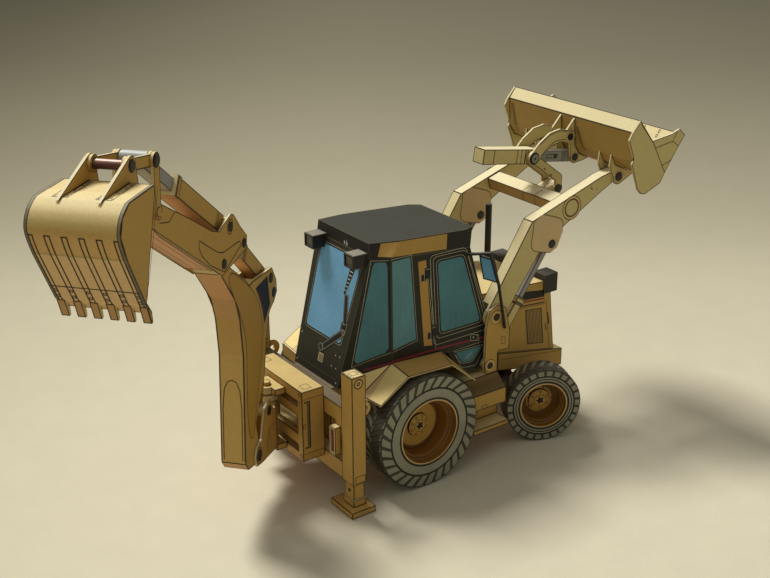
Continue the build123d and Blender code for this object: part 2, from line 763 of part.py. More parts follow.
keep("stabiliser_right", stabiliser(-1))
keep("stabiliser_left", stabiliser(1))


def rear_lamp(side):
    """A box on the back of the frame, inside each post, with a recessed lens."""
    body = box(BEAM_X0 - 2.6, BEAM_X0 - SEAT, 24.2, 27.6, 20.6, 31.4)
    body = body - box(BEAM_X0 - 2.6 - 1, BEAM_X0 - 2.6 + 0.4, 24.8, 27.0, 21.4, 30.6)
    return body if side > 0 else mirrored(body)


keep("rear_lamp_right", rear_lamp(-1))
keep("rear_lamp_left", rear_lamp(1))


# ---------------------------------------------------------------- sideshift carriage and swing post
HINGE_T = 2.4
HINGE_ROWS = [16.4, 38.4]        # z of the underside of each hinge plate of the carriage


def carriage():
    bar = 6.0
    post = 3.2
    body = box(CARR_X0, CARR_X1, -CARR_HALF, CARR_HALF, CARR_Z1 - 4.4, CARR_Z1)
    body = body + box(CARR_X0, CARR_X1, -CARR_HALF, CARR_HALF, CARR_Z0, CARR_Z0 + 3.0)
    for side in (-1, 1):
        y0, y1 = sorted((side * (CARR_HALF - post), side * CARR_HALF))
        body = body + box(CARR_X0, CARR_X1, y0, y1, CARR_Z0, CARR_Z1)
    for z0, z1 in ((21.4, 25.6), (32.8, 36.6)):
        body = body + box(CARR_X0, CARR_X0 + 2.6, -CARR_HALF + post - 0.5, CARR_HALF - post + 0.5, z0, z1)
    for z0 in HINGE_ROWS:
        lug = box(SWING_X, CARR_X0 + 0.5, -bar, bar, z0, z0 + HINGE_T)
        lug = lug + Pos(SWING_X, 0, z0 + HINGE_T / 2) * Cylinder(3.4, HINGE_T)
        body = body + lug - Pos(SWING_X, 0, z0 + HINGE_T / 2) * Cylinder(SWING_PIN_R + RUN, 2 * HINGE_T)
    return body


def swing_post():
    """Two side plates from the swing pin out to the boom's foot, on a hub between the hinge plates."""
    y0, y1 = BOOM_HALF + SIDE_GAP, BOOM_HALF + SIDE_GAP + PLATE
    outline = [
        (7.0, 19.5),
        (22.0, 22.0),
        (27.6, 23.4),
        (28.6, 27.0),
        (26.4, 30.0),
        (22.0, 31.0),
        (17.6, 40.6),
        (12.0, 41.8),
        (10.4, 38.0),
        (7.0, 35.0),
    ]
    body = both(y0, y1, lambda a, b: slab(outline, a, b))
    hub = Pos(0, 0, 28.6) * Cylinder(3.6, 2 * 9.2)
    wedge = [(0, -3.6), (7.0, -y1), (8.4, -y1), (8.4, y1), (7.0, y1), (0, 3.6)]
    core = extrude(make_face(Polyline([(x, y, 19.5) for x, y in wedge], close=True)), amount=15.5, dir=(0, 0, 1))
    floor = slab([(8.0, 19.7), (21.0, 21.8), (20.6, 23.0), (8.0, 21.0)], -y1, y1)
    pin = Pos(0, 0, 28.6) * Cylinder(SWING_PIN_R, 2 * 13.4)
    body = body + hub + core + floor + pin
    body = body + round_bar(*FOOT, PIN_R, -y1 - 0.4, y1 + 0.4)
    return body + round_bar(*BOOM_CYL_BASE, PIN_R, -y1 - 0.4, y1 + 0.4)


keep("carriage", carriage())
keep("swing_post", hoe(swing_post()))

# ---------------------------------------------------------------- boom
BOOM_INNER = [
    (24.2, 38.0),
    (19.4, 44.6),
    (14.3, 50.0),
    (12.3, 56.7),
    (10.4, 63.4),
    (7.5, 69.7),
    (4.9, 72.4),
    (0.2, 73.8),
    (-3.4, 76.6),
    (-3.0, 80.6),
    (1.0, 86.6),
]
BOOM_TOP = [
    (20.8, 89.2),
    (23.8, 89.0),
    (27.4, 92.4),
    (43.2, 103.6),
]
BOOM_OUTER = [
    (48.4, 102.2),
    (36.9, 89.0),
    (33.9, 80.8),
    (32.5, 67.6),
    (35.9, 28.7),
    (33.4, 25.4),
    (22.8, 22.6),
    (22.0, 30.0),
]
BRACKET_ROOM = [                 # the bracket is open between its two cheeks
    (-8.0, 70.0),
    (7.6, 70.0),
    (8.4, 80.0),
    (17.0, 86.2),
    (19.0, 96.0),
    (-8.0, 96.0),
]
FORK_IN = 2.9


def boom():
    body = slab(BOOM_INNER + BOOM_TOP + BOOM_OUTER, -BOOM_HALF, BOOM_HALF)
    body = body + round_bar(*STICK_PIN, 3.3, -BOOM_HALF, BOOM_HALF)
    body = body - slab(BRACKET_ROOM, -FORK_IN, FORK_IN)
    body = body - round_bar(*FOOT, PIN_R + RUN, -STICK_HALF - 2, STICK_HALF + 2)
    body = body - round_bar(*STICK_PIN, PIN_R + RUN, -STICK_HALF - 2, STICK_HALF + 2)
    body = body + round_bar(*STICK_CYL_BASE, PIN_R, -BOOM_HALF - 0.4, BOOM_HALF + 0.4)
    return body + both(BOOM_HALF - 0.01, BOOM_HALF + 0.4, lambda a, b: round_bar(*BOOM_CYL_EYE, PIN_R, a, b))


def barrel(base, eye, width, half, length, eye_r, eye_half):
    """A square cylinder body with a collar at its mouth and a bored eye at its base."""
    rest = math.dist(base, eye)
    body = slab(beam_points(base, eye, width, eye_r * 0.7, rest - length), -half, half)
    body = body + slab(beam_points(base, eye, width + 0.5, length - 3.0, rest - length), -half - 0.2, half + 0.2)
    body = body + round_bar(*base, eye_r, -eye_half, eye_half)
    return body - round_bar(*base, PIN_R + RUN, -eye_half - 1, eye_half + 1)


def rod_room(base, eye, width, half, length, start):
    """The channel in the barrel that the rod slides in."""
    outline = beam_points(base, eye, width + 2 * RUN, start, math.dist(base, eye) - length - 1)
    return slab(outline, -half - RUN, half + RUN)


def rod(base, eye, width, half, start, eye_r, eye_half):
    body = slab(beam_points(base, eye, width, start, eye_r * 0.5), -half, half)
    return body + round_bar(*eye, eye_r, -eye_half, eye_half)


keep("boom", hoe(boom()))

CYL_CHANNEL = 1.9                # the channel begins this far from the base pin's middle
BOOM_CYL_LEN = 26.0
boom_barrel = barrel(BOOM_CYL_BASE, BOOM_CYL_EYE, 4.6, 2.2, BOOM_CYL_LEN, 2.3, BOOM_HALF)
boom_barrel = boom_barrel - rod_room(BOOM_CYL_BASE, BOOM_CYL_EYE, 2.8, 1.3, BOOM_CYL_LEN, CYL_CHANNEL)
keep("boom_cylinder", hoe(boom_barrel))
keep("boom_rod", hoe(rod(BOOM_CYL_BASE, BOOM_CYL_EYE, 2.8, 1.3, 3.6, 2.0, FORK_IN - 0.3)))

STICK_CYL_LEN = 26.4
stick_barrel = barrel(STICK_CYL_BASE, STICK_CYL_EYE, 5.2, 2.3, STICK_CYL_LEN, 2.3, FORK_IN - 0.2)
stick_barrel = stick_barrel - rod_room(STICK_CYL_BASE, STICK_CYL_EYE, 3.0, 1.4, STICK_CYL_LEN, CYL_CHANNEL)
keep("stick_cylinder", hoe(stick_barrel))
keep("stick_rod", hoe(rod(STICK_CYL_BASE, STICK_CYL_EYE, 3.0, 1.4, 2.9, 2.1, BOOM_HALF - 0.3)))

# ---------------------------------------------------------------- stick
STICK_LOW = [
    (26.4, 103.0),
    (48.6, 101.8),
    (92.5, 131.2),
    (104.8, 140.0),
]
STICK_TOP = [
    (102.6, 146.0),
    (89.2, 138.2),
    (70.1, 127.6),
    (54.6, 118.6),
    (48.8, 116.4),
    (44.4, 117.6),
    (38.6, 118.6),
    (36.2, 117.6),
    (31.1, 112.1),
    (25.4, 107.0),
]
STICK_CORE = [
    (55.4, 106.4),
    (92.5, 131.2),
    (104.8, 140.0),
    (102.6, 146.0),
    (89.2, 138.2),
    (70.1, 127.6),
    (58.5, 120.9),
]


def stick():
    inner = STICK_HALF - CHEEK
    body = both(inner, STICK_HALF, lambda a, b: slab(STICK_LOW + STICK_TOP, a, b))
    body = body + slab(STICK_CORE, -inner - 0.01, inner + 0.01)
    body = body + round_bar(*BUCKET_PIN, 3.1, -STICK_HALF, STICK_HALF)
    head = STICK_HALF + 0.4
    for spot in (STICK_PIN, BUCKET_CYL_BASE):
        body = body + round_bar(*spot, PIN_R, -head, head)
    body = body + both(STICK_HALF - 0.01, head, lambda a, b: round_bar(*STICK_CYL_EYE, PIN_R, a, b))
    link_pin = STICK_HALF + 0.1 + PLATE + 0.3
    body = body + round_bar(*LINK_S, PIN_R, -link_pin, link_pin)
    return body - round_bar(*BUCKET_PIN, PIN_R + RUN, -STICK_HALF - 1, STICK_HALF + 1)


keep("stick", hoe(stick()))

SIDE_LINK_Y0 = STICK_HALF + 0.1
SIDE_LINK_Y1 = SIDE_LINK_Y0 + PLATE
HOE_LINK_OUT = SIDE_LINK_Y0 - 0.1
HOE_LINK_IN = HOE_LINK_OUT - PLATE
BUCKET_CYL_LEN = 41.5
BUCKET_CYL_HALF = 3.0
bucket_barrel = barrel(BUCKET_CYL_BASE, LINK_L, 5.6, BUCKET_CYL_HALF, BUCKET_CYL_LEN, 2.7, BOOM_HALF)
bucket_barrel = bucket_barrel - rod_room(BUCKET_CYL_BASE, LINK_L, 3.6, 2.0, BUCKET_CYL_LEN, CYL_CHANNEL)
keep("bucket_cylinder", hoe(bucket_barrel))
keep("bucket_rod", hoe(rod(BUCKET_CYL_BASE, LINK_L, 3.6, 2.0, 15.0, 2.2, HOE_LINK_IN - 0.3)))


# links between the stick, the bucket rod and the bucket's ears; the ear rod carries the bucket links
def side_links():
    body = both(SIDE_LINK_Y0, SIDE_LINK_Y1, lambda a, b: link_plate(LINK_S, LINK_L, 2.2, a, b))
    body = body - round_bar(*LINK_S, PIN_R + RUN, -SIDE_LINK_Y1 - 1, SIDE_LINK_Y1 + 1)
    return body + both(SIDE_LINK_Y1 - 0.01, SIDE_LINK_Y1 + 0.3, lambda a, b: round_bar(*LINK_L, PIN_R, a, b))


def bucket_links():
    body = both(HOE_LINK_IN, HOE_LINK_OUT, lambda a, b: link_plate(LINK_L, EAR_PIN, 2.3, a, b, 0.7))
    return body - round_bar(*EAR_PIN, EAR_ROD_R + RUN, -HOE_LINK_OUT - 1, HOE_LINK_OUT + 1)


EAR_ROD_R = 1.3
keep("side_links", hoe(side_links()))
keep("bucket_links", hoe(bucket_links()))

# ---------------------------------------------------------------- hoe bucket
HOE_SHELL = [                    # the outer line of the wrapped sheet, from the top front edge to the cutting edge
    (108.0, 149.6),
    (122.4, 149.6),
    (126.6, 147.2),
    (128.4, 143.0),
    (125.9, 136.2),
    (118.0, 122.0),
    (115.4, 118.6),
]
HOE_SIDE_FRONT = [(117.0, 123.4), (113.6, 133.0), (108.2, 147.2)]
EAR_Y0 = SIDE_LINK_Y0
EAR_Y1 = EAR_Y0 + PLATE


def offset_line(points, distance):
    """The same open line moved sideways, mitred at its corners."""
    moved = []
    for index, point in enumerate(points):
        normals = []
        if index > 0:
            before = points[index - 1]
            length = math.dist(before, point)
            normals.append(((point[1] - before[1]) / length, -(point[0] - before[0]) / length))
        if index < len(points) - 1:
            after = points[index + 1]
            length = math.dist(point, after)
            normals.append(((after[1] - point[1]) / length, -(after[0] - point[0]) / length))
        nx = sum(n[0] for n in normals) / len(normals)
        nz = sum(n[1] for n in normals) / len(normals)
        scale = distance / (nx * nx + nz * nz)
        moved.append((point[0] + nx * scale, point[1] + nz * scale))
    return moved


def hoe_bucket():
    inner = offset_line(HOE_SHELL, CARD)
    wrap = slab(HOE_SHELL + inner[::-1], -HOE_HALF, HOE_HALF)
    side = HOE_SHELL[:-1] + HOE_SIDE_FRONT
    body = wrap + both(HOE_HALF - SIDE_PLATE, HOE_HALF, lambda a, b: slab(side, a, b))
    width = 2 * HOE_HALF / (HOE_TEETH * 2 - 1)
    tip = [(118.6, 122.8), (116.4, 115.6), (115.6, 116.0), (115.0, 119.0)]
    for index in range(HOE_TEETH):
        y0 = -HOE_HALF + 2 * index * width
        body = body + slab([(117.4, 121.0), (115.6, 115.9), (114.9, 116.2), (115.2, 119.2)], y0, y0 + width)
    ear = [(124.2, 149.5), (107.6, 155.6), (104.0, 154.4), (102.4, 144.2), (103.4, 141.6), (106.4, 141.6), (109.0, 149.5)]
    ears = both(EAR_Y0, EAR_Y1, lambda a, b: slab(ear, a, b) + round_bar(*EAR_PIN, 2.5, a, b))
    body = body + ears
    pin_end = EAR_Y1 + 0.3
    body = body + round_bar(*BUCKET_PIN, PIN_R, -pin_end, pin_end)
    return body - round_bar(*EAR_PIN, EAR_ROD_R + SEAT, -pin_end, pin_end)


keep("hoe_bucket", hoe(hoe_bucket()))
keep("ear_rod", hoe(round_bar(*EAR_PIN, EAR_ROD_R, -EAR_Y1 - 0.35, EAR_Y1 + 0.35)))

# ---------------------------------------------------------------- loader arms
ARM_OUTLINE = [
    (36.0, 55.9),
    (57.0, 87.9),
    (92.4, 99.2),
    (99.8, 100.6),
    (101.6, 95.7),
    (98.6, 96.0),
    (91.8, 92.7),
    (72.4, 82.3),
    (71.2, 80.8),
    (63.4, 77.6),
    (43.4, 50.7),
]
GUSSET = [
    (57.4, 83.0),
    (56.6, 78.0),
    (58.4, 76.2),
    (64.6, 74.2),
    (69.8, 74.6),
    (71.4, 78.0),
    (72.6, 85.6),
    (63.0, 89.4),
]
TUBE = (74.6, 90.6)          # middle of the cross tube
TUBE_SIZE = (6.4, 4.6)


ARM_CUT_X = ARM_PIVOT[0] + 0.7   # the arm's inner part stops here, so that it clears the cab's front
ARM_CUT_Z = ARM_PIVOT[1] - 0.6


def loader_arms():
    y0, y1 = ARM_HALF_GAP, ARM_HALF_GAP + ARM_WIDTH
    eye_half = 1.9
    mid = (y0 + y1) / 2

    def arm(a, b):
        body = slab(ARM_OUTLINE, a, b) + round_bar(*ARM_PIVOT, 4.6, a, b)
        return body + round_bar(*LOADER_PIN, 2.6, a, b)
    body = both(y0, y1, arm)
    plate = PLATE
    body = body + both(y0, y0 + plate, lambda a, b: slab(GUSSET, a, b))
    body = body + both(y1 - plate, y1, lambda a, b: slab(GUSSET, a, b))
    room = [(61.4, 73.0), (66.0, 72.0), (74.0, 74.0), (71.6, 80.6), (68.0, 81.4), (62.6, 78.6)]
    body = body - both(mid - eye_half, mid + eye_half, lambda a, b: slab(room, a, b))
    low = [(20, 30), (80, 30), (80, ARM_CUT_Z), (20, ARM_CUT_Z)]
    rear = [(20, 30), (ARM_CUT_X, 30), (ARM_CUT_X - 4.0, 70), (20, 70)]
    for outline in (low, rear):
        body = body - both(y0 - 1, CAB_HALF_LOW + 0.2, lambda a, b: slab(outline, a, b))
    body = body - both(y0 - 1, y1 + 1, lambda a, b: round_bar(*ARM_PIVOT, PIN_R + RUN, a, b))
    body = body - both(y0 - 1, y1 + 1, lambda a, b: round_bar(*LOADER_PIN, PIN_R + RUN, a, b))
    tilt = Rot(0, -17.6, 0)
    tube = Pos(TUBE[0], 0, TUBE[1]) * tilt * Box(TUBE_SIZE[0], 2 * y0 + 1, TUBE_SIZE[1])
    tongue = slab([(76.4, 89.0), (89.6, 92.6), (90.4, 89.4), (88.6, 88.0), (76.4, 87.6)], -LEVER_IN_Y + 0.1, LEVER_IN_Y - 0.1)
    body = body + tube + tongue
    head = 0.35
    for a in (y0 - head, y1 - 0.01):
        body = body + both(a, a + head + 0.01, lambda p, q: round_bar(*LIFT_EYE, PIN_R, p, q))
    return body + round_bar(*LEVER_PIN, PIN_R, -LEVER_OUT_Y - 0.3, LEVER_OUT_Y + 0.3)


keep("loader_arms", loader_arms())

LIFT_W = 3.6
LIFT_HALF = 1.7
LIFT_LEN = 28.8


def lift_pair(side):
    mid = side * (ARM_HALF_GAP + ARM_WIDTH / 2)
    body = barrel(LIFT_BASE, LIFT_EYE, LIFT_W, LIFT_HALF, LIFT_LEN, 2.0, LIFT_HALF)
    body = body - rod_room(LIFT_BASE, LIFT_EYE, 2.2, 1.1, LIFT_LEN, CYL_CHANNEL)
    inner = rod(LIFT_BASE, LIFT_EYE, 2.2, 1.1, 21.2, 1.9, 1.5)
    return Pos(0, mid, 0) * body, Pos(0, mid, 0) * inner


for side, word in ((-1, "right"), (1, "left")):
    outer, inner = lift_pair(side)
    keep(f"lift_cylinder_{word}", outer)
    keep(f"lift_rod_{word}", inner)
    keep(f"tower_{word}", tower(side))

# ---------------------------------------------------------------- loader bucket and its linkage
BUCKET_SHELL = [                 # outer line of the wrapped sheet, from the top lip to the cutting edge
    (98.8, 122.9),
    (95.4, 118.6),
    (96.2, 107.2),
    (98.8, 103.0),
    (104.6, 100.2),
    (113.8, 100.6),
    (120.8, 109.1),
    (124.2, 113.4),
]
BUCKET_SIDE = [
    (98.6, 122.9),
    (94.8, 118.7),
    (93.2, 116.0),
    (96.4, 108.1),
    (95.5, 106.3),
    (99.7, 95.5),
    (101.8, 93.5),
    (104.1, 93.1),
    (112.2, 96.1),
    (114.5, 100.1),
    (120.8, 109.1),
    (124.2, 113.4),
    (121.0, 116.3),
    (116.6, 115.0),
    (106.1, 113.9),
]
BRACKET_ARM = [(96.0, 107.6), (98.4, 103.2), (104.4, 100.4), (109.6, 100.8), (108.6, 98.2), (101.6, 95.0), (97.6, 98.0), (95.4, 103.0)]
BRACKET_MID = [(95.5, 118.0), (96.6, 106.8), (99.0, 103.0), (104.6, 100.6), (101.0, 99.8), (96.6, 99.4), (94.2, 101.8), (93.4, 108.0), (90.2, 110.6), (90.8, 113.0)]


def loader_bucket():
    inner = offset_line(BUCKET_SHELL, -CARD)
    wrap = slab(BUCKET_SHELL + inner[::-1], -BUCKET_HALF, BUCKET_HALF)
    body = wrap + both(BUCKET_HALF - SIDE_PLATE, BUCKET_HALF, lambda a, b: slab(BUCKET_SIDE, a, b))
    arm_in, arm_out = ARM_HALF_GAP - SIDE_GAP, ARM_HALF_GAP + ARM_WIDTH + SIDE_GAP

    def bracket(a, b):
        return slab(BRACKET_ARM, a, b) + round_bar(*LOADER_PIN, 3.1, a, b)
    body = body + both(arm_in - PLATE, arm_in, bracket) + both(arm_out, arm_out + PLATE, bracket)
    pin = both(arm_in - PLATE, arm_out + PLATE + 0.3, lambda a, b: round_bar(*LOADER_PIN, PIN_R, a, b))
    body = body + pin

    def middle(a, b):
        return slab(BRACKET_MID, a, b) + round_bar(*TILT_TOP, 2.5, a, b) + round_bar(*TILT_EYE, 2.5, a, b)
    return body + both(LEVER_IN_Y, LEVER_OUT_Y, middle)


keep("loader_bucket", loader_bucket())


LEVER_KNEE = (88.4, 94.6)
LEVER_W = 3.6


def tilt_lever():
    def plate(a, b):
        body = slab(beam_points(LINK_RING, LEVER_KNEE, LEVER_W), a, b)
        body = body + slab(beam_points(LEVER_KNEE, LEVER_PIN, LEVER_W), a, b)
        body = body + round_bar(*LEVER_KNEE, LEVER_W / 2, a, b) + round_bar(*LINK_RING, 2.5, a, b)
        return body + round_bar(*LEVER_PIN, 2.3, a, b)
    body = both(LEVER_IN_Y, LEVER_OUT_Y, plate)
    for spot in (LINK_RING, LEVER_PIN):
        body = body - round_bar(*spot, PIN_R + RUN, -LEVER_OUT_Y - 1, LEVER_OUT_Y + 1)
    return body


def tilt_link():
    """The curved link: an arch band from the ring to the bucket's upper bracket pin."""
    outline = [
        (72.2, 106.9), (76.2, 110.9), (81.6, 114.2), (87.0, 115.0), (92.6, 113.4),
        (92.6, 108.8), (88.2, 109.9), (83.0, 109.0), (78.6, 106.2), (75.6, 103.4),
    ]

    def plate(a, b):
        return slab(outline, a, b) + round_bar(*LINK_RING, 2.6, a, b) + round_bar(*TILT_TOP, 2.5, a, b)
    body = both(LINK_IN_Y, LINK_OUT_Y, plate)
    body = body + both(LINK_OUT_Y - 0.01, LINK_OUT_Y + 0.3, lambda a, b: round_bar(*TILT_TOP, PIN_R, a, b))
    return body - round_bar(*LINK_RING, PIN_R + RUN, -LINK_OUT_Y - 1, LINK_OUT_Y + 1)


TILT_BASE = (49.8, 109.4)        # the free end of the tilt cylinder
TILT_HALF = 3.0
TILT_W = 5.8
TILT_LEN = 27.5
TILT_WALL = 2.0                  # card left at the closed end, behind the rod's channel
TILT_ROD_W = 4.4
TILT_ROD_HALF = 2.2
TILT_STROKE = 8.0                # how far the rod can go in from where it stands


def tilt_cylinder():
    rest = math.dist(TILT_BASE, TILT_EYE)
    body = slab(beam_points(TILT_BASE, TILT_EYE, TILT_W, 0, rest - TILT_LEN), -TILT_HALF, TILT_HALF)
    room = beam_points(TILT_BASE, TILT_EYE, TILT_ROD_W + 2 * RUN, TILT_WALL, rest - TILT_LEN - 8)
    channel = slab(room, -TILT_ROD_HALF - RUN, TILT_ROD_HALF + RUN)
    trunnion = round_bar(*LINK_RING, PIN_R, -LINK_OUT_Y - 0.5, LINK_OUT_Y + 0.5)
    head = round_bar(*LINK_RING, 2.9, -TILT_HALF, TILT_HALF)
    return body + head + trunnion - channel


def tilt_rod():
    start = TILT_WALL + TILT_STROKE
    body = slab(beam_points(TILT_BASE, TILT_EYE, TILT_ROD_W, start, 1.0), -TILT_ROD_HALF, TILT_ROD_HALF)
    return body + round_bar(*TILT_EYE, TILT_ROD_W / 2, -TILT_ROD_HALF, TILT_ROD_HALF)


keep("tilt_lever", tilt_lever())
keep("tilt_link", tilt_link())
keep("tilt_cylinder", tilt_cylinder())
keep("tilt_rod", tilt_rod())

os.makedirs("parts", exist_ok=True)
for name, shape in PARTS.items():
    export_step(shape, f"parts/{name}.step")
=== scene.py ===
import bpy
import bmesh
import json
import math
from mathutils import Vector, Matrix
from mathutils.bvhtree import BVHTree


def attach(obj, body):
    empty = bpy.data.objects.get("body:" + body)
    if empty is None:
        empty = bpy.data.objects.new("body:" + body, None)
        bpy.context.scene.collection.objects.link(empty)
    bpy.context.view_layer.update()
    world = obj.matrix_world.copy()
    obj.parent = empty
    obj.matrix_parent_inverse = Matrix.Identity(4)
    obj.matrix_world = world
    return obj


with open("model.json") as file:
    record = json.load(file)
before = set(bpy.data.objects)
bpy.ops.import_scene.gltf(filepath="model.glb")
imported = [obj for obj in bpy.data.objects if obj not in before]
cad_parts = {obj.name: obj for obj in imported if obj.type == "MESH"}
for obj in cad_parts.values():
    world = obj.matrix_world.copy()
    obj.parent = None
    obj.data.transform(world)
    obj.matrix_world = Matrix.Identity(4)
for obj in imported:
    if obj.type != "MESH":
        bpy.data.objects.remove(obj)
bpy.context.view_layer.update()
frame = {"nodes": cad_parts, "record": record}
NODES = frame["nodes"]
BODY_OF = {n: b for b, ns in frame["record"]["behaviour"]["bodies"].items() for n in ns}
SLOT_OF = {s["node"]: s["material_slot"] for s in frame["record"]["subparts"]}
MM = 0.001

# ---------------------------------------------------------------- reference frames, in millimetres
SLEW = math.radians(41.0)
SWING_X = -47.0
HOE_R = Vector((-math.cos(SLEW), -math.sin(SLEW), 0))
HOE_D = Vector((math.sin(SLEW), -math.cos(SLEW), 0))
UP = Vector((0, 0, 1))
SIDES = ((-1, "right"), (1, "left"))


class Sheet:
    """A plane to draw on: millimetres along u and v, thrown along n on to the card."""

    def __init__(self, origin, u, v, n):
        self.o, self.u, self.v, self.n = Vector(origin), Vector(u), Vector(v), Vector(n)

    def at(self, a, b):
        return (self.o + self.u * a + self.v * b) * MM


def side(s, y=60, middle=0):
    """Looking in from y millimetres to one side of a mid-plane."""
    return Sheet((0, middle + s * y, 0), (1, 0, 0), (0, 0, 1), (0, -s, 0))


REAR = Sheet((-90, 0, 0), (0, 1, 0), (0, 0, 1), (1, 0, 0))
FRONT = Sheet((160, 0, 0), (0, 1, 0), (0, 0, 1), (-1, 0, 0))
TOP = Sheet((0, 0, 200), (1, 0, 0), (0, 1, 0), (0, 0, -1))
SWING = Vector((SWING_X, 0, 0))


def hoe_side(s):
    return Sheet(SWING + HOE_D * s * 40, HOE_R, UP, -HOE_D * s)


HOE_BACK = Sheet(SWING + HOE_R * 160, HOE_D, UP, -HOE_R)
HOE_TOP = Sheet(SWING + UP * 200, HOE_R, HOE_D, -UP)
HOE_UNDER = Sheet(SWING, HOE_R, HOE_D, UP)


# ---------------------------------------------------------------- materials
def srgb(r, g, b):
    def lin(c):
        c /= 255
        return c / 12.92 if c <= 0.04045 else ((c + 0.055) / 1.055) ** 2.4
    return (lin(r), lin(g), lin(b), 1)


def color_ramp(nodes, stops):
    """A colour ramp through pairs of a place, from 0 to 1, and a colour."""
    ramp = nodes.new("ShaderNodeValToRGB")
    els = ramp.color_ramp.elements
    while len(els) > 1:
        els.remove(els[0])
    for i, (at, color) in enumerate(stops):
        e = els[0] if i == 0 else els.new(at)
        e.position = at
        e.color = color
    return ramp


def card(name, stops, rough=0.6, grain=0.34, mottle=0.14, streak=0.0, bump=0.25, spec=0.35, metallic=0.0,
         wear=0.0, wear_color=(214, 200, 160)):
    """Printed card.  stops: colours by how far the face looks up, from -1 (down) to 1 (up); where they
    differ, the tops are paler as a painted highlight and the undersides warmer as painted bounce light.
    """
    mat = bpy.data.materials.new(name)
    mat.use_nodes = True
    nt = mat.node_tree
    n, link = nt.nodes, nt.links.new
    bsdf = n["Principled BSDF"]
    coord = n.new("ShaderNodeTexCoord")
    geo = n.new("ShaderNodeNewGeometry")
    turn = n.new("ShaderNodeVectorTransform")
    turn.vector_type = "NORMAL"
    turn.convert_from, turn.convert_to = "WORLD", "OBJECT"
    link(geo.outputs["Normal"], turn.inputs[0])
    sep = n.new("ShaderNodeSeparateXYZ")
    link(turn.outputs[0], sep.inputs[0])
    span = n.new("ShaderNodeMapRange")
    span.inputs["From Min"].default_value = -1
    span.inputs["From Max"].default_value = 1
    link(sep.outputs["Z"], span.inputs["Value"])
    ramp = color_ramp(n, [((z + 1) / 2, srgb(*c)) for z, c in stops])
    link(span.outputs["Result"], ramp.inputs["Fac"])

    def noise(scale, detail, rough_n=0.55, mapping=None):
        t = n.new("ShaderNodeTexNoise")
        t.inputs["Scale"].default_value = scale
        t.inputs["Detail"].default_value = detail
        t.inputs["Roughness"].default_value = rough_n
        if mapping:
            m = n.new("ShaderNodeMapping")
            m.inputs["Scale"].default_value = mapping
            link(coord.outputs["Object"], m.inputs["Vector"])
            link(m.outputs[0], t.inputs["Vector"])
        else:
            link(coord.outputs["Object"], t.inputs["Vector"])
        return t.outputs["Fac"]

    def math_node(op, a, b):
        m = n.new("ShaderNodeMath")
        m.operation = op
        for i, x in enumerate((a, b)):
            if isinstance(x, (int, float)):
                m.inputs[i].default_value = x
            else:
                link(x, m.inputs[i])
        return m.outputs[0]

    fibre = noise(1500, 4, 0.65)
    patch = noise(70, 3)
    value = math_node("ADD", 1 - grain / 2 - mottle / 2 - streak / 2, math_node("MULTIPLY", fibre, grain))
    value = math_node("ADD", value, math_node("MULTIPLY", patch, mottle))
    if streak:
        value = math_node("ADD", value, math_node("MULTIPLY", noise(900, 2, 0.5, (1, 1, 0.08)), streak))
    tone = n.new("ShaderNodeVectorMath")
    tone.operation = "SCALE"
    link(ramp.outputs["Color"], tone.inputs[0])
    link(value, tone.inputs["Scale"])
    color = tone.outputs[0]
    if wear:
        scuff = n.new("ShaderNodeMapRange")
        scuff.inputs["From Min"].default_value = 0.60
        scuff.inputs["From Max"].default_value = 0.72
        scuff.inputs["To Max"].default_value = wear
        link(noise(420, 5, 0.7), scuff.inputs["Value"])
        mix = n.new("ShaderNodeMix")
        mix.data_type = "RGBA"
        link(scuff.outputs["Result"], mix.inputs["Factor"])
        link(color, mix.inputs[6])
        mix.inputs[7].default_value = srgb(*wear_color)
        color = mix.outputs[2]
    link(color, bsdf.inputs["Base Color"])
    soft = n.new("ShaderNodeMapRange")
    soft.inputs["To Min"].default_value = max(0.05, rough - 0.10)
    soft.inputs["To Max"].default_value = min(1.0, rough + 0.14)
    link(patch, soft.inputs["Value"])
    link(soft.outputs["Result"], bsdf.inputs["Roughness"])
    bsdf.inputs["Specular IOR Level"].default_value = spec
    bsdf.inputs["Metallic"].default_value = metallic
    bm = n.new("ShaderNodeBump")
    bm.inputs["Strength"].default_value = bump
    bm.inputs["Distance"].default_value = 0.00004
    link(fibre, bm.inputs["Height"])
    link(bm.outputs[0], bsdf.inputs["Normal"])
    return mat
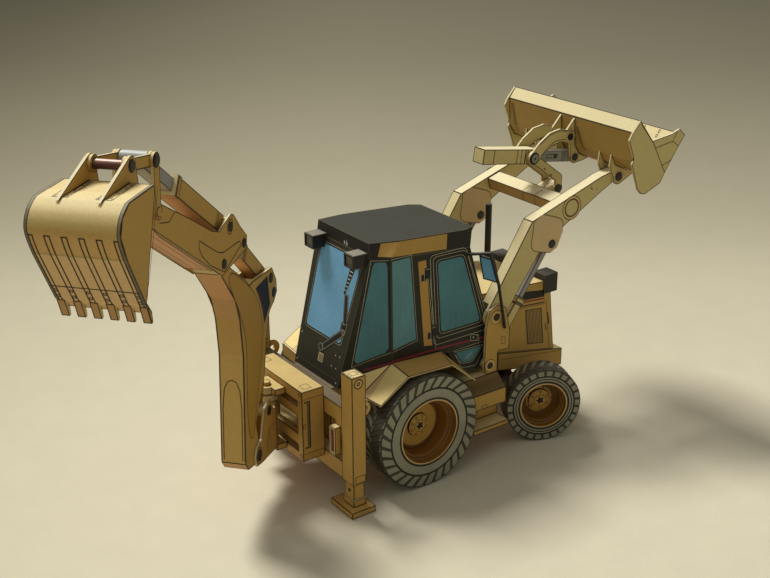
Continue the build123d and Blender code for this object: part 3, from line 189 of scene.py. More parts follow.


# Colours by facing: the paler up-facing stops are a painted highlight on the tops and the pinker down-facing
# stops painted bounce light; the same holds for the ramps in MATERIALS and the inks below.
OCHRE = [(-1.0, (196, 140, 88)), (-0.5, (184, 138, 86)), (-0.25, (182, 142, 84)), (0.0, (190, 152, 76)),
         (0.35, (214, 182, 112)), (0.7, (232, 208, 144)), (1.0, (234, 212, 152))]
PALE = [(-1.0, (196, 152, 100)), (-0.4, (190, 150, 88)), (-0.2, (188, 152, 84)), (-0.04, (204, 186, 124)),
        (0.1, (206, 190, 130)), (0.4, (226, 208, 150)), (0.8, (242, 230, 184)), (1.0, (242, 230, 186))]
DULL = [(-1.0, (180, 124, 66)), (-0.2, (182, 138, 74)), (0.0, (186, 146, 74)), (0.4, (196, 164, 96)),
        (1.0, (214, 186, 118))]
MATERIALS = {
    "yellow_card": card("yellow_card", OCHRE, wear=0.05),
    "pale": card("pale_card", PALE, wear=0.04),
    "dull": card("dull_card", DULL, mottle=0.3, wear=0.08),
    "black_card": card("black_card", [(-1, (30, 28, 26)), (0, (38, 36, 34)), (1, (86, 84, 80))], rough=0.5,
                       grain=0.3),
    "roof_card": card("roof_card", [(-1, (34, 33, 28)), (0.2, (40, 38, 32)), (0.8, (58, 58, 50)),
                                    (1, (60, 60, 52))], rough=0.7, grain=0.7, mottle=0.5, bump=0.7,
                      wear=0.12, wear_color=(96, 94, 82)),
    "cab_card": card("cab_card", [(-1, (30, 28, 22)), (0, (34, 32, 25)), (0.3, (50, 48, 38)),
                                  (1, (60, 58, 48))], rough=0.55, grain=0.6, mottle=0.3, wear=0.05,
                     wear_color=(84, 80, 66)),
    "grey_card": card("grey_card", [(-1, (70, 66, 54)), (0, (78, 74, 60)), (1, (92, 88, 74))], grain=0.6,
                      mottle=0.4, streak=0.25),
    "orange_card": card("orange_card", [(-1, (134, 90, 30)), (0, (124, 84, 26)), (1, (142, 100, 38))],
                        grain=0.4, mottle=0.4, streak=0.2),
    # rod_card and copper_rod: their pale up-facing stops are painted highlights along the rods
    "rod_card": card("rod_card", [(-1, (150, 140, 128)), (0, (150, 152, 148)), (1, (190, 194, 192))],
                     rough=0.45, streak=0.18),
    "copper_rod": card("copper_rod", [(-1, (70, 44, 38)), (0, (96, 62, 54)), (0.6, (130, 92, 84)),
                                      (1, (190, 158, 148))], rough=0.4, metallic=0.25, grain=0.9, mottle=0.7,
                       bump=1.0),
}
INKS = {}


def new_ink(name, slot, *stops, **options):
    """A colour to print with, stored with the name of the slot meant for its prints."""
    INKS[name] = (card(name, stops, **options), slot)


new_ink("ink", "black_card", (-1, (44, 34, 20)), (1, (56, 46, 30)), grain=0.5, mottle=0.4, bump=0.1)
new_ink("fine", "black_card", (-1, (74, 58, 32)), (1, (92, 76, 48)), grain=0.5, mottle=0.4, bump=0.1)
new_ink("black", "black_card", (-1, (26, 24, 22)), (1, (36, 34, 32)), grain=0.4)
new_ink("cut", "yellow_card", (-1, (190, 166, 110)), (0, (206, 186, 130)), (1, (238, 226, 184)), grain=0.3,
        mottle=0.3)
new_ink("cutgrey", "roof_card", (-1, (84, 80, 62)), (0, (96, 92, 72)), (1, (110, 106, 88)), grain=0.8,
        mottle=0.8)
new_ink("rule", "roof_card", (-1, (190, 184, 154)), (0, (206, 200, 168)), (1, (206, 200, 168)), grain=0.5,
        mottle=0.5)
new_ink("lens", "roof_card", (-1, (96, 92, 80)), (0, (112, 106, 92)), (1, (150, 146, 132)), grain=0.8,
        mottle=0.5)
new_ink("plank", "black_card", (-1, (92, 78, 54)), (0, (96, 82, 58)), (1, (110, 96, 72)), grain=0.6,
        mottle=0.9, streak=0.3)
new_ink("cream", "yellow_card", (-1, (214, 178, 116)), (0, (214, 182, 118)), (1, (240, 222, 166)))
new_ink("ochre", "yellow_card", (-1, (196, 144, 70)), (0, (186, 144, 66)), (1, (206, 168, 90)))
new_ink("teal", "cab_card", (-1, (70, 122, 132)), (0, (76, 128, 138)), (1, (96, 150, 160)), grain=0.5,
        mottle=0.8, streak=0.25)
new_ink("teal2", "cab_card", (-1, (84, 130, 136)), (0, (92, 140, 148)), (1, (104, 156, 164)), grain=0.5,
        mottle=0.6, streak=0.25)
new_ink("sky", "cab_card", (-1, (104, 162, 204)), (0, (116, 176, 216)), (1, (130, 186, 220)), grain=0.4,
        mottle=0.5, streak=0.1)
new_ink("white", "grey_card", (-1, (188, 184, 172)), (1, (214, 210, 200)), grain=0.4)
new_ink("silver", "grey_card", (-1, (120, 118, 110)), (1, (150, 148, 140)), grain=0.4)
new_ink("red", "orange_card", (-1, (130, 40, 48)), (1, (150, 50, 58)), grain=0.4, mottle=0.3)
new_ink("magenta", "orange_card", (-1, (112, 34, 62)), (1, (124, 40, 70)), grain=0.3)
new_ink("lug", "grey_card", (-1, (138, 135, 114)), (0, (150, 147, 126)), (1, (150, 146, 126)), grain=0.6,
        mottle=0.5)
new_ink("wall", "grey_card", (-1, (140, 137, 118)), (0, (152, 149, 128)), (1, (160, 156, 140)), grain=0.6,
        mottle=0.6)
new_ink("tread", "grey_card", (-1, (70, 66, 60)), (1, (82, 78, 72)), grain=0.4, mottle=0.3)
new_ink("rust", "orange_card", (-1, (124, 78, 24)), (1, (138, 90, 32)), grain=0.3, mottle=0.3)
new_ink("skylight", "cab_card", (-1, (124, 182, 220)), (1, (132, 190, 224)), grain=0.5)
new_ink("skydark", "cab_card", (-1, (102, 160, 202)), (1, (110, 168, 208)), grain=0.5)
new_ink("umber", "black_card", (-1, (92, 74, 50)), (1, (112, 94, 66)), grain=0.4, mottle=0.3)
new_ink("beige", "yellow_card", (-1, (170, 150, 104)), (1, (206, 188, 140)), grain=0.4, mottle=0.3)
# painted light: a bright ink laid on the fender's rear facets in place of direct light
new_ink("sun", "yellow_card", (-1, (240, 210, 136)), (1, (254, 230, 158)), grain=0.3)
# sand: painted shade on the fender tops; it also darkens the tops of the stabiliser pads
new_ink("sand", "yellow_card", (-1, (184, 146, 78)), (1, (206, 168, 96)), grain=0.4, mottle=0.2)
# painted shade: the darker olive laid on the sloping tank tops
new_ink("moss", "yellow_card", (-1, (118, 94, 48)), (1, (134, 108, 60)), grain=0.6, mottle=0.5, streak=0.2)
new_ink("shade", "yellow_card", (-1, (168, 134, 72)), (0, (166, 134, 68)), (0.4, (196, 166, 98)),
        (1, (226, 200, 140)), grain=0.4, mottle=0.3)
new_ink("tan", "yellow_card", (-1, (206, 166, 118)), (0, (210, 182, 134)), (1, (226, 196, 144)))
new_ink("olive", "yellow_card", (-1, (190, 146, 70)), (0, (180, 140, 60)), (1, (206, 172, 96)))
new_ink("speck", "roof_card", (-1, (96, 88, 70)), (0, (120, 110, 88)), (1, (150, 142, 118)), grain=1.0,
        mottle=0.5, bump=1.0)
new_ink("pin", "black_card", (-1, (24, 23, 22)), (0, (34, 32, 30)), (1, (58, 56, 54)), rough=0.4, grain=0.3)
TONE = {}        # nodes given a paler yellow (the loader) or a duller yellow with darker tops (carriage, swing post, rear axle)
for node in NODES:
    if node.startswith(("loader_", "tilt_lever", "tilt_link", "tilt_cylinder", "lift_cylinder")):
        TONE[node] = "pale"
    elif node in ("carriage", "swing_post", "rear_axle"):
        TONE[node] = "dull"
for node, obj in NODES.items():
    mats = obj.data.materials
    if not mats:
        mats.append(None)
    for i in range(len(mats)):
        mats[i] = MATERIALS[TONE.get(node, SLOT_OF[node])]


# ---------------------------------------------------------------- drawing on the card
TREES = {}


def tree_of(node):
    if node not in TREES:
        mesh = NODES[node].data
        TREES[node] = BVHTree.FromPolygons([v.co for v in mesh.vertices],
                                           [tuple(p.vertices) for p in mesh.polygons])
    return TREES[node]


BATCH = {}


def add_faces(body, ink, points, faces):
    verts, polys = BATCH.setdefault((body, ink), ([], []))
    base = len(verts)
    verts.extend(points)
    polys.extend([tuple(base + i for i in f) for f in faces])


def stamp(node, ink, sheet, polygons, anchor=None, lift=0.05):
    """Flat print: all polygons land on the plane of the card under the anchor."""
    if anchor is None:
        first = polygons[0]
        anchor = (sum(p[0] for p in first) / len(first), sum(p[1] for p in first) / len(first))
    hit, normal, _, _ = tree_of(node).ray_cast(sheet.at(*anchor), sheet.n)
    if hit is None:
        print("no card under", node, ink, anchor)
        return
    if normal.dot(sheet.n) > 0:
        normal = -normal
    for polygon in polygons:
        points = []
        for a, b in polygon:
            p = sheet.at(a, b)
            t = (hit - p).dot(normal) / sheet.n.dot(normal)
            points.append(p + sheet.n * t + normal * lift * MM)
        add_faces(BODY_OF[node], ink, points, [tuple(range(len(points)))])


def printer(node, sheet, anchor):
    """A stamp with its node, its sheet and its anchor already chosen."""
    def put(ink, polygons, lift=0.05):
        stamp(node, ink, sheet, polygons, anchor, lift)
    return put


def wrap(node, ink, sheet, polygons, lift=0.06):
    """Print that follows the card.  A polygon with a corner off the card is left out."""
    tree = tree_of(node)
    for polygon in polygons:
        points = []
        for a, b in polygon:
            hit, normal, _, _ = tree.ray_cast(sheet.at(a, b), sheet.n)
            if hit is None:
                points = None
                break
            if normal.dot(sheet.n) > 0:
                normal = -normal
            points.append(hit + normal * lift * MM)
        if points:
            add_faces(BODY_OF[node], ink, points, [tuple(range(len(points)))])


def line(points, width, closed=False):
    """A drawn line as quads, mitred at its corners."""
    pts = [Vector(p) for p in points]
    count = len(pts)
    rows = []
    for i, p in enumerate(pts):
        dirs = []
        if closed or i > 0:
            dirs.append((p - pts[i - 1]).normalized())
        if closed or i < count - 1:
            dirs.append((pts[(i + 1) % count] - p).normalized())
        mid = sum(dirs, Vector((0, 0)))
        if mid.length < 1e-6:
            mid = dirs[0].copy()
        mid.normalize()
        normal = Vector((-mid.y, mid.x))
        scale = 1 / max(0.5, abs(mid.dot(dirs[0])))
        off = normal * width / 2 * scale
        rows.append((tuple(p + off), tuple(p - off)))
    quads = []
    for i in range(count if closed else count - 1):
        a, b = rows[i], rows[(i + 1) % count]
        quads.append([a[0], b[0], b[1], a[1]])
    return quads


def strokes(width, *paths):
    """Several open lines of one width."""
    return [quad for path in paths for quad in line(path, width)]


def circle(x, z, r, count=28):
    turns = [2 * math.pi * i / count for i in range(count)]
    return [(x + r * math.cos(a), z + r * math.sin(a)) for a in turns]


def ring(x, z, r, width, count=28):
    return line(circle(x, z, r, count), width, closed=True)


def disc(x, z, r, count=24):
    return [circle(x, z, r, count)]


def rect(x0, z0, x1, z1):
    return [(x0, z0), (x1, z0), (x1, z1), (x0, z1)]


def rounded(points, r):
    """A polygon with its corners rounded."""
    out = []
    count = len(points)
    for i in range(count):
        p = Vector(points[i])
        a = (Vector(points[i - 1]) - p)
        b = (Vector(points[(i + 1) % count]) - p)
        cut = min(r, a.length * 0.45, b.length * 0.45)
        start, end = p + a.normalized() * cut, p + b.normalized() * cut
        for k in range(5):
            t = k / 4
            out.append(tuple(start * (1 - t) ** 2 + p * 2 * t * (1 - t) + end * t ** 2))
    return out


def grown(points, d):
    """A convex polygon moved outwards by d."""
    c = Vector((sum(p[0] for p in points) / len(points), sum(p[1] for p in points) / len(points)))
    out = []
    count = len(points)
    for i in range(count):
        p = Vector(points[i])
        e1 = (p - Vector(points[i - 1])).normalized()
        e2 = (Vector(points[(i + 1) % count]) - p).normalized()
        n1, n2 = Vector((e1.y, -e1.x)), Vector((e2.y, -e2.x))
        if n1.dot(p - c) < 0:
            n1, n2 = -n1, -n2
        m = n1 + n2
        out.append(tuple(p + m * (d / max(0.3, m.dot(n1)))))
    return out


def along(a, b, t):
    return (a[0] + (b[0] - a[0]) * t, a[1] + (b[1] - a[1]) * t)


def pin_cap(node, sheet, a, b, radius=1.75, height=0.45, look=2.3):
    """A punched black disc glued over a pin's end.  look: how far off the pin the plate is felt for."""
    hit = None
    for turn in range(8):
        ang = math.pi / 4 * turn
        start = sheet.at(a + look * math.cos(ang), b + look * math.sin(ang))
        h, n, _, _ = tree_of(node).ray_cast(start, sheet.n)
        square_on = h is not None and n.dot(sheet.n) < -0.95
        if square_on and (hit is None or h.dot(sheet.n) < hit.dot(sheet.n) + 1e-6):
            hit, normal = h, n
    if hit is None:
        print("no plate at", node, a, b)
        return
    p = sheet.at(a, b)
    centre = p + sheet.n * ((hit - p).dot(normal) / sheet.n.dot(normal))
    rows = [(radius, -0.05), (radius, height - 0.2), (radius - 0.22, height), (radius * 0.4, height + 0.05)]
    count = 24
    verts, faces = [], []
    for r, h in rows:
        for i in range(count):
            ang = 2 * math.pi * i / count
            verts.append(centre + (sheet.u * math.cos(ang) + sheet.v * math.sin(ang)) * r * MM
                         + normal * h * MM)
    for k in range(len(rows) - 1):
        for i in range(count):
            j = (i + 1) % count
            faces.append((k * count + i, k * count + j, (k + 1) * count + j, (k + 1) * count + i))
    faces.append(tuple((len(rows) - 1) * count + i for i in range(count)))
    add_faces(BODY_OF[node], "pin", verts, faces)


def outline(node, ink="ink", width=0.26, angle=28, cut=None, lift=0.035, thin=1.15):
    """Ink along every fold and edge, and a pale strip on the cut edges of sheets."""
    bm = bmesh.new()
    bm.from_mesh(NODES[node].data)
    bmesh.ops.remove_doubles(bm, verts=bm.verts, dist=2e-6)
    bmesh.ops.dissolve_limit(bm, angle_limit=math.radians(1.0), verts=bm.verts, edges=bm.edges)
    limit = math.radians(angle)
    body = BODY_OF[node]
    for face in bm.faces:
        normal = face.normal
        if normal.length < 0.5:
            continue
        loops = list(face.loops)
        count = len(loops)
        sharp = []
        for lp in loops:
            e = lp.edge
            sharp.append(len(e.link_faces) != 2 or e.calc_face_angle(0) > limit)
        perimeter = sum(lp.edge.calc_length() for lp in loops)
        area = face.calc_area()
        if perimeter < 1e-6:
            continue
        mean = 2 * area / perimeter / MM
        if mean < thin:
            if cut and mean > 0.25 and count <= 8:
                add_faces(body, cut, [lp.vert.co + normal * lift * MM for lp in loops], [tuple(range(count))])
            continue
        if not any(sharp):
            continue
        edges = []
        for lp in loops:
            d = (lp.link_loop_next.vert.co - lp.vert.co)
            if d.length < 1e-7:
                d = Vector((1e-7, 0, 0))
            d.normalize()
            edges.append((d, normal.cross(d).normalized()))

        def shifted(i, amount):
            before, after = (i - 1) % count, i
            d0 = amount if sharp[before] else 0.0
            d1 = amount if sharp[after] else 0.0
            n0, n1 = edges[before][1], edges[after][1]
            cosine = n0.dot(n1)
            p = loops[i].vert.co
            if cosine > 0.985:
                return p + (n0 + n1).normalized() * (d0 + d1) / 2
            det = 1 - cosine * cosine
            if det < 0.02:
                return p + n1 * d1
            a = (d0 - d1 * cosine) / det
            b = (d1 - d0 * cosine) / det
            move = n0 * a + n1 * b
            if move.length > amount * 4:
                move = move.normalized() * amount * 4
            return p + move

        up = normal * lift * MM
        for i in range(count):
            if not sharp[i]:
                continue
            j = (i + 1) % count
            p0, p1 = loops[i].vert.co + up, loops[j].vert.co + up
            q0, q1 = shifted(i, width * MM) + up, shifted(j, width * MM) + up
            if (q1 - q0).dot(p1 - p0) <= 0:
                continue
            add_faces(body, ink, [p0, p1, q1, q0], [(0, 1, 2, 3)])
    bm.free()


for node, slot in SLOT_OF.items():
    if slot == "yellow_card":
        outline(node, cut="cut")
for node in ("cab_shell", "cab_roof", "work_lamp_right", "work_lamp_left", "headlamp_right", "headlamp_left"):
    outline(node, ink="cutgrey", width=0.16, angle=20)
for node in NODES:
    if SLOT_OF[node] == "rod_card":
        outline(node, ink="fine", width=0.2)


# pin centres and half spacings of the pieces that carry prints, in millimetres
LIFT_BASE = (37.2, 34.0)
TOWER_PIN = (39.8, 53.5)
LIFT_EYE = (67.5, 76.8)
ARM_KNEE = (77.1, 89.5)
LOADER_PIN = (100.6, 98.0)
TILT_BASE = (49.8, 109.4)
TILT_EYE = (96.6, 101.8)
TILT_TOP = (73.9, 105.3)
LINK_END = (92.6, 111.0)
LEVER_FOOT = (88.2, 90.2)
BOOM_CYL_BASE = (13.7, 38.0)
BOOM_CYL_EYE = (0.4, 77.3)
STICK_CYL_BASE = (3.0, 83.6)
STICK_CYL_EYE = (28.6, 105.6)
STICK_PIVOT = (46.7, 105.2)
BUCKET_CYL_BASE = (39.9, 114.9)
BOOM_FOOT = (25.4, 26.6)
LINK_L = (91.6, 150.7)
LINK_S = (92.5, 137.0)
EAR_PIN = (106.2, 153.4)
BUCKET_PIN = (104.5, 143.5)
LIFT_SPAN = 52.4             # lift cylinder, from base to eye
TILT_SPAN = 47.4             # tilt cylinder, likewise
ARM_Y = 21.3
POST_Y = 32.3
REAR_LAMP_Y = 25.9
WORK_LAMP_Y = 13.0
HEADLAMP_Y = 13.5
PAD_Y = 13.7                 # printed square on the carriage
EAR_Y = 5.65
SHELL_HALF = 12.24           # half the width of the hoe bucket's back
BORDER = 11.5                # where its speckled border starts
TEETH = 6
LIP_HALF = 12.2
TOOTH_PITCH = 4 * LIP_HALF / 11      # six teeth and five gaps across the lip


# ---------------------------------------------------------------- prints: cab
def drape(node, ink, sheet, points, width, lift=0.06, step=1.4):
    """A drawn line that follows a curved or folded face."""
    pts = [Vector(p) for p in points]
    fine_pts = [pts[0]]
    for p, q in zip(pts, pts[1:]):
        count = max(1, math.ceil((q - p).length / step))
        fine_pts.extend(p.lerp(q, k / count) for k in range(1, count + 1))
    wrap(node, ink, sheet, line(fine_pts, width), lift)


def fill(node, ink, sheet, corners, across, down, lift=0.07, cut=True):
    """A filled four-cornered patch that follows a folded face, its corners cut off."""
    a, b, c, d = (Vector(p) for p in corners)

    def spot(i, j):
        u, v = i / across, j / down
        return tuple(a.lerp(b, u).lerp(d.lerp(c, u), v))
    ends = ((0, 0), (across, 0), (0, down), (across, down)) if cut else ()
    cells = []
    for i in range(across):
        for j in range(down):
            cell = [(i, j), (i + 1, j), (i + 1, j + 1), (i, j + 1)]
            cells.append([spot(*q) for q in cell if q not in ends])
    wrap(node, ink, sheet, cells, lift)


def tint(node, ink, test, lift=0.02):
    """Another colour on the whole of some faces."""
    mesh = NODES[node].data
    for polygon in mesh.polygons:
        if test(polygon.normal, polygon.center / MM):
            points = [mesh.vertices[i].co + polygon.normal * lift * MM for i in polygon.vertices]
            add_faces(BODY_OF[node], ink, points, [tuple(range(len(points)))])


def clipped(p, q, polygon):
    """The part of the line p-q inside a convex polygon."""
    p, q = Vector(p), Vector(q)
    middle = sum((Vector(c) for c in polygon), Vector((0, 0))) / len(polygon)
    t0, t1 = 0.0, 1.0
    for i, corner in enumerate(polygon):
        a, b = Vector(corner), Vector(polygon[(i + 1) % len(polygon)])
        normal = Vector((-(b - a).y, (b - a).x))
        if normal.dot(middle - a) < 0:
            normal = -normal
        start, run = normal.dot(p - a), normal.dot(q - p)
        if abs(run) < 1e-9:
            if start < 0:
                return None
            continue
        t = -start / run
        if run > 0:
            t0 = max(t0, t)
        else:
            t1 = min(t1, t)
    return (tuple(p.lerp(q, t0)), tuple(p.lerp(q, t1))) if t1 - t0 > 0.02 else None


def smooth(points, closed=True, steps=4):
    """A soft curve through the points."""
    pts = [Vector(p) for p in points]
    count = len(pts)
    out = []
    for i in range(count if closed else count - 1):
        p0 = pts[i - 1] if closed or i else pts[0]
        p1, p2 = pts[i], pts[(i + 1) % count]
        p3 = pts[(i + 2) % count] if closed or i < count - 2 else pts[-1]
        for k in range(steps):
            t = k / steps
            out.append(tuple(0.5 * (2 * p1 + (p2 - p0) * t + (2 * p0 - 5 * p1 + 4 * p2 - p3) * t ** 2
                                    + (3 * p1 - p0 - 3 * p2 + p3) * t ** 3)))
    if not closed:
        out.append(tuple(pts[-1]))
    return out


def band(a, b, d0, d1, half):
    """A strip across the line from a to b, between two distances from a."""
    p, q = Vector(a), Vector(b)
    u = (q - p).normalized()
    v = Vector((-u.y, u.x)) * half
    return [tuple(p + u * d0 - v), tuple(p + u * d1 - v), tuple(p + u * d1 + v), tuple(p + u * d0 + v)]


def on_rear(ink, polygons, lift=0.08, anchor=(0, 70)):
    """Flat print on the cab's rear wall."""
    stamp("cab_shell", ink, REAR, polygons, anchor=anchor, lift=lift)


REAR_WINDOW = [(12.7, 84.6), (12.0, 53.9), (-10.8, 53.9), (-13.1, 84.6)]
stamp("cab_shell", "sky", REAR, [rounded(REAR_WINDOW, 1.6)])
on_rear("black", line(rounded(grown(REAR_WINDOW, 0.1), 1.6), 0.3, True))
on_rear("rule", line(rounded(grown(REAR_WINDOW, 0.6), 1.6), 0.12, True))
for k in range(64):                # pencil hatching across the pane
    cut = clipped((14.0 - k * 0.9 + 30, 50.0), (14.0 - k * 0.9 - 8, 90.0), grown(REAR_WINDOW, -0.3))
    if cut:
        shade = "skydark" if k % 2 else "skylight"
        on_rear(shade, line([along(*cut, 0.02), along(*cut, 0.98)], 0.07 + 0.03 * (k % 4)), 0.07)
WIPER_ARM = [(-7.4, 81.9), (-10.6, 81.6), (-7.6, 71.1), (-6.6, 71.0)]
on_rear("black", [WIPER_ARM], 0.10)
for k in range(7):
    t = 0.08 + k * 0.13
    p, q = along(WIPER_ARM[0], WIPER_ARM[3], t), along(WIPER_ARM[1], WIPER_ARM[2], t)
    on_rear("white", line([along(p, q, 0.15), along(p, q, 0.85)], 0.35), 0.12)
WIPER_BAR = [(-7.6, 71.0), (-9.5, 71.0), (-12.2, 61.4), (-10.2, 60.8)]
WIPER_JOINT = [(-9.2, 61.2), (-12.6, 61.2), (-12.5, 58.9), (-9.2, 58.9)]
WIPER_LOW = [(-10.6, 59.2), (-11.6, 57.2), (-1.4, 48.6), (-0.2, 50.2)]
for shape in (WIPER_BAR, WIPER_JOINT, WIPER_LOW):
    on_rear("black", [grown(shape, 0.35)], 0.10)
    on_rear("silver", line(shape, 0.26, True), 0.12)
on_rear("silver", ring(0.2, 49.2, 1.3, 0.3) + ring(-11.2, 58.2, 0.9, 0.3), 0.12, (0, 47))
stamp("cab_shell", "beige", REAR, [rect(-2.6, 44.0, 0.6, 47.2)], lift=0.08)
for k in range(5):
    z = 44.5 + k * 0.5
    on_rear("black", line([(-2.4, z), (0.3 - 0.3 * (k % 2), z)], 0.22), 0.1, (0, 45))
on_rear("cutgrey", strokes(0.16, [(13.2, 41.2), (-13.2, 41.2)], [(13.1, 51.6), (12.6, 42.0)],
                           [(-13.2, 52.8), (-12.8, 42.0)]), 0.08, (0, 45))
for a, b in ((-9.6, 49.3), (-12.2, 49.6), (-8.5, 45.0), (-11.3, 45.0), (13.4, 50.4), (13.2, 40.2),
             (-13.0, 40.2)):
    on_rear("white", disc(a, b, 0.28, 10), 0.1, (0, 45))
stamp("cab_roof", "white", REAR, [rect(-3.2, 87.4, -2.2, 88.6), rect(-1.6, 87.6, -0.9, 88.8)], lift=0.08)
stamp("cab_roof", "sky", REAR, [rect(-2.9, 87.2, -2.5, 89.6)], lift=0.10)

PANE_REAR = [(-12.1, 85.3), (-7.9, 85.2), (-8.1, 51.2), (-20.2, 47.3)]
PANE_MID = [(-6.3, 85.2), (1.6, 85.3), (3.9, 53.0), (-6.5, 51.4)]
DOOR_WINDOW = [(14.1, 80.6), (25.7, 80.3), (34.2, 52.7), (15.5, 52.7)]
DOOR = [(10.5, 83.7), (27.1, 83.5), (39.4, 48.2), (12.2, 48.2)]
NOSE_WINDOW = [(22.4, 42.4), (35.0, 41.8), (30.4, 37.0), (25.8, 37.5)]
PILLAR = [(5.1, 82.6), (8.7, 82.6), (11.3, 48.6), (7.5, 49.2)]
GUSSET = [(57.7, 87.6), (62.0, 89.6), (71.4, 86.1), (72.8, 84.0), (72.4, 79.5), (70.4, 74.9), (67.0, 73.3),
          (59.0, 75.6), (57.0, 77.8), (57.5, 83.3)]
GUSSET_TOP = [(63.4, 89.4), (67.6, 87.9), (71.4, 86.3), (72.8, 84.0), (72.7, 80.0)]
GUSSET_LOW = [(57.8, 88.2), (57.4, 83.3), (56.8, 78.2), (58.7, 75.8), (63.0, 74.4), (67.0, 73.4)]
for s, word in SIDES:
    sheet = side(s)
    on_wall = printer("cab_shell", sheet, (18, 65))
    on_nose = printer("cab_shell", sheet, (30, 38))
    fill("cab_shell", "teal", sheet, PANE_REAR, 10, 24)
    drape("cab_shell", "rule", sheet, [(-7.3, 50.7), (-20.9, 46.4), (-12.8, 85.9), (-7.5, 85.9)], 0.12, 0.09)
    drape("cab_shell", "black", sheet, [(-7.5, 85.4), (-7.5, 51.2)], 0.5, 0.09)
    on_wall("teal2", [PANE_MID], 0.06)
    on_wall("rule", line([(-6.7, 50.6), (4.5, 52.3), (2.2, 86.0), (-6.7, 86.0)], 0.12), 0.08)
    on_wall("teal", [rounded(DOOR_WINDOW, 1.5)], 0.06)
    for gap, width, ink in ((0.2, 0.30, "black"), (0.75, 0.13, "rule"), (2.2, 0.15, "rule")):
        on_wall(ink, line(rounded(grown(DOOR_WINDOW, gap), 2.0), width, True), 0.08)
    on_wall("rule", line(rounded(DOOR, 2.0), 0.15, True), 0.08)
    on_wall("ochre", [PILLAR], 0.06)
    for x, z in ((8.2, 77.0), (11.0, 53.6)):
        plates = [rect(x - 0.2, z - 1.6, x + 2.4, z + 2.6), rect(x - 2.0, z - 2.4, x + 0.4, z + 0.6)]
        on_wall("black", plates, 0.10)
        on_wall("rule", line(rect(x - 1.9, z - 2.3, x - 0.3, z + 0.5), 0.13, True)
                + line([(x + 0.2, z + 1.9), (x + 2.0, z + 1.9)], 0.13), 0.12)
    on_wall("rule", strokes(0.13, [(9.6, 75.2), (11.4, 57.0)], [(10.4, 75.2), (12.2, 57.0)],
                            [(12.6, 50.6), (13.0, 46.9)]), 0.09)
    on_wall("black", [[(29.4, 48.3), (33.8, 47.1), (33.9, 44.2), (29.4, 45.4)]], 0.12)
    on_wall("rule", line([(29.6, 48.0), (33.6, 46.9), (33.7, 44.5), (29.6, 45.6)], 0.14, True)
            + line([(32.2, 47.0), (33.1, 46.7), (33.1, 45.2), (32.2, 45.5)], 0.14)
            + disc(31.0, 46.5, 0.35, 10), 0.14)
    on_nose("teal", [rounded(NOSE_WINDOW, 0.8)], 0.06)
    on_nose("rule", line(rounded(grown(NOSE_WINDOW, 0.5), 1.0), 0.15, True)
            + line(rounded([(21.2, 43.6), (38.0, 43.6), (32.6, 34.4), (25.6, 35.2)], 1.4), 0.13, True)
            + line([(27.4, 38.6), (29.0, 39.6), (30.6, 40.2)], 0.2), 0.08)
    on_wall("red", line([(-7.1, 46.9), (15.5, 46.4), (40.0, 45.0)], 0.75), 0.07)
    stamp("cab_shell", "magenta", sheet, line([(-21.9, 43.7), (-7.2, 46.9)], 0.8), (-13, 65), 0.07)

    def under(x):
        return 87.0 - (x + 13.0) * 0.0926 + 0.45

    def above(x):
        return 92.0 - (x + 12.9) * 0.072 - 0.35

    roof_edge = [(-8.4, above(-8.4)), (20.4, above(20.4)), (18.2, under(18.2)), (-10.6, under(-10.6))]
    fill("cab_roof", "ochre", sheet, roof_edge, 24, 6, 0.13, cut=False)

    # hood
    on_hood = printer("hood", sheet, (60, 42))
    on_hood("black", [[(47.5, 57.9), (72.0, 54.0), (72.5, 51.0), (47.5, 53.4)]])
    on_hood("red", line([(47.5, 52.7), (72.6, 50.2)], 0.6), 0.07)
    on_hood("black", line([(47.5, 50.9), (72.8, 48.6)], 0.45), 0.07)
    on_hood("fine", line([(47.5, 50.1), (73.0, 47.9)], 0.2) + line([(73.5, 49.2), (76.4, 27.9)], 0.22)
            + line([(54.5, 49.0), (54.5, 33.3), (47.0, 34.6)], 0.22), 0.07)
    louvre = [(62.6, 47.4), (71.0, 46.4), (72.9, 30.8), (64.5, 32.3)]
    on_hood("ochre", [louvre], 0.06)
    for k in range(11):
        t = (k + 0.5) / 11
        on_hood("umber", line([along(louvre[0], louvre[1], t), along(louvre[3], louvre[2], t)], 0.42), 0.08)
    on_hood("ink", line(louvre, 0.3, True), 0.1)
    on_hood("ink", [[(74.4, 43.8), (74.9, 43.8), (76.0, 38.2), (75.4, 38.2)],
                    [(73.4, 39.2), (73.8, 39.2), (74.4, 35.9), (74.0, 35.9)]], 0.07)
    stamp("chassis", "fine", sheet, line([(48.6, 29.8), (82.2, 24.9)], 0.2), (60, 27))

    # tank and step
    tank = "tank_" + word
    stamp(tank, "ink", sheet, line([(24.8, 16.4), (40.8, 16.4)], 0.22)
          + strokes(0.25, [(29.7, 19.2), (29.7, 14.8)], [(31.2, 19.2), (31.2, 14.8)]), anchor=(36, 16))
    stamp(tank, "ink", sheet, line(rect(29.4, 19.9, 31.5, 21.4), 0.25, True), anchor=(33, 22))
    # painted shade on the sloping top of the tank
    tint(tank, "moss", lambda n, c: 0.5 < n.z < 0.9)
    for k in range(40):
        x = 24.9 + k * 0.4
        stamp(tank, "ink" if k % 2 else "umber", sheet,
              line([(x, 26.5 + 0.3 * (k % 3)), (x + 0.3, 30.4 - 0.4 * (k % 4))], 0.16), anchor=(33, 28.5))

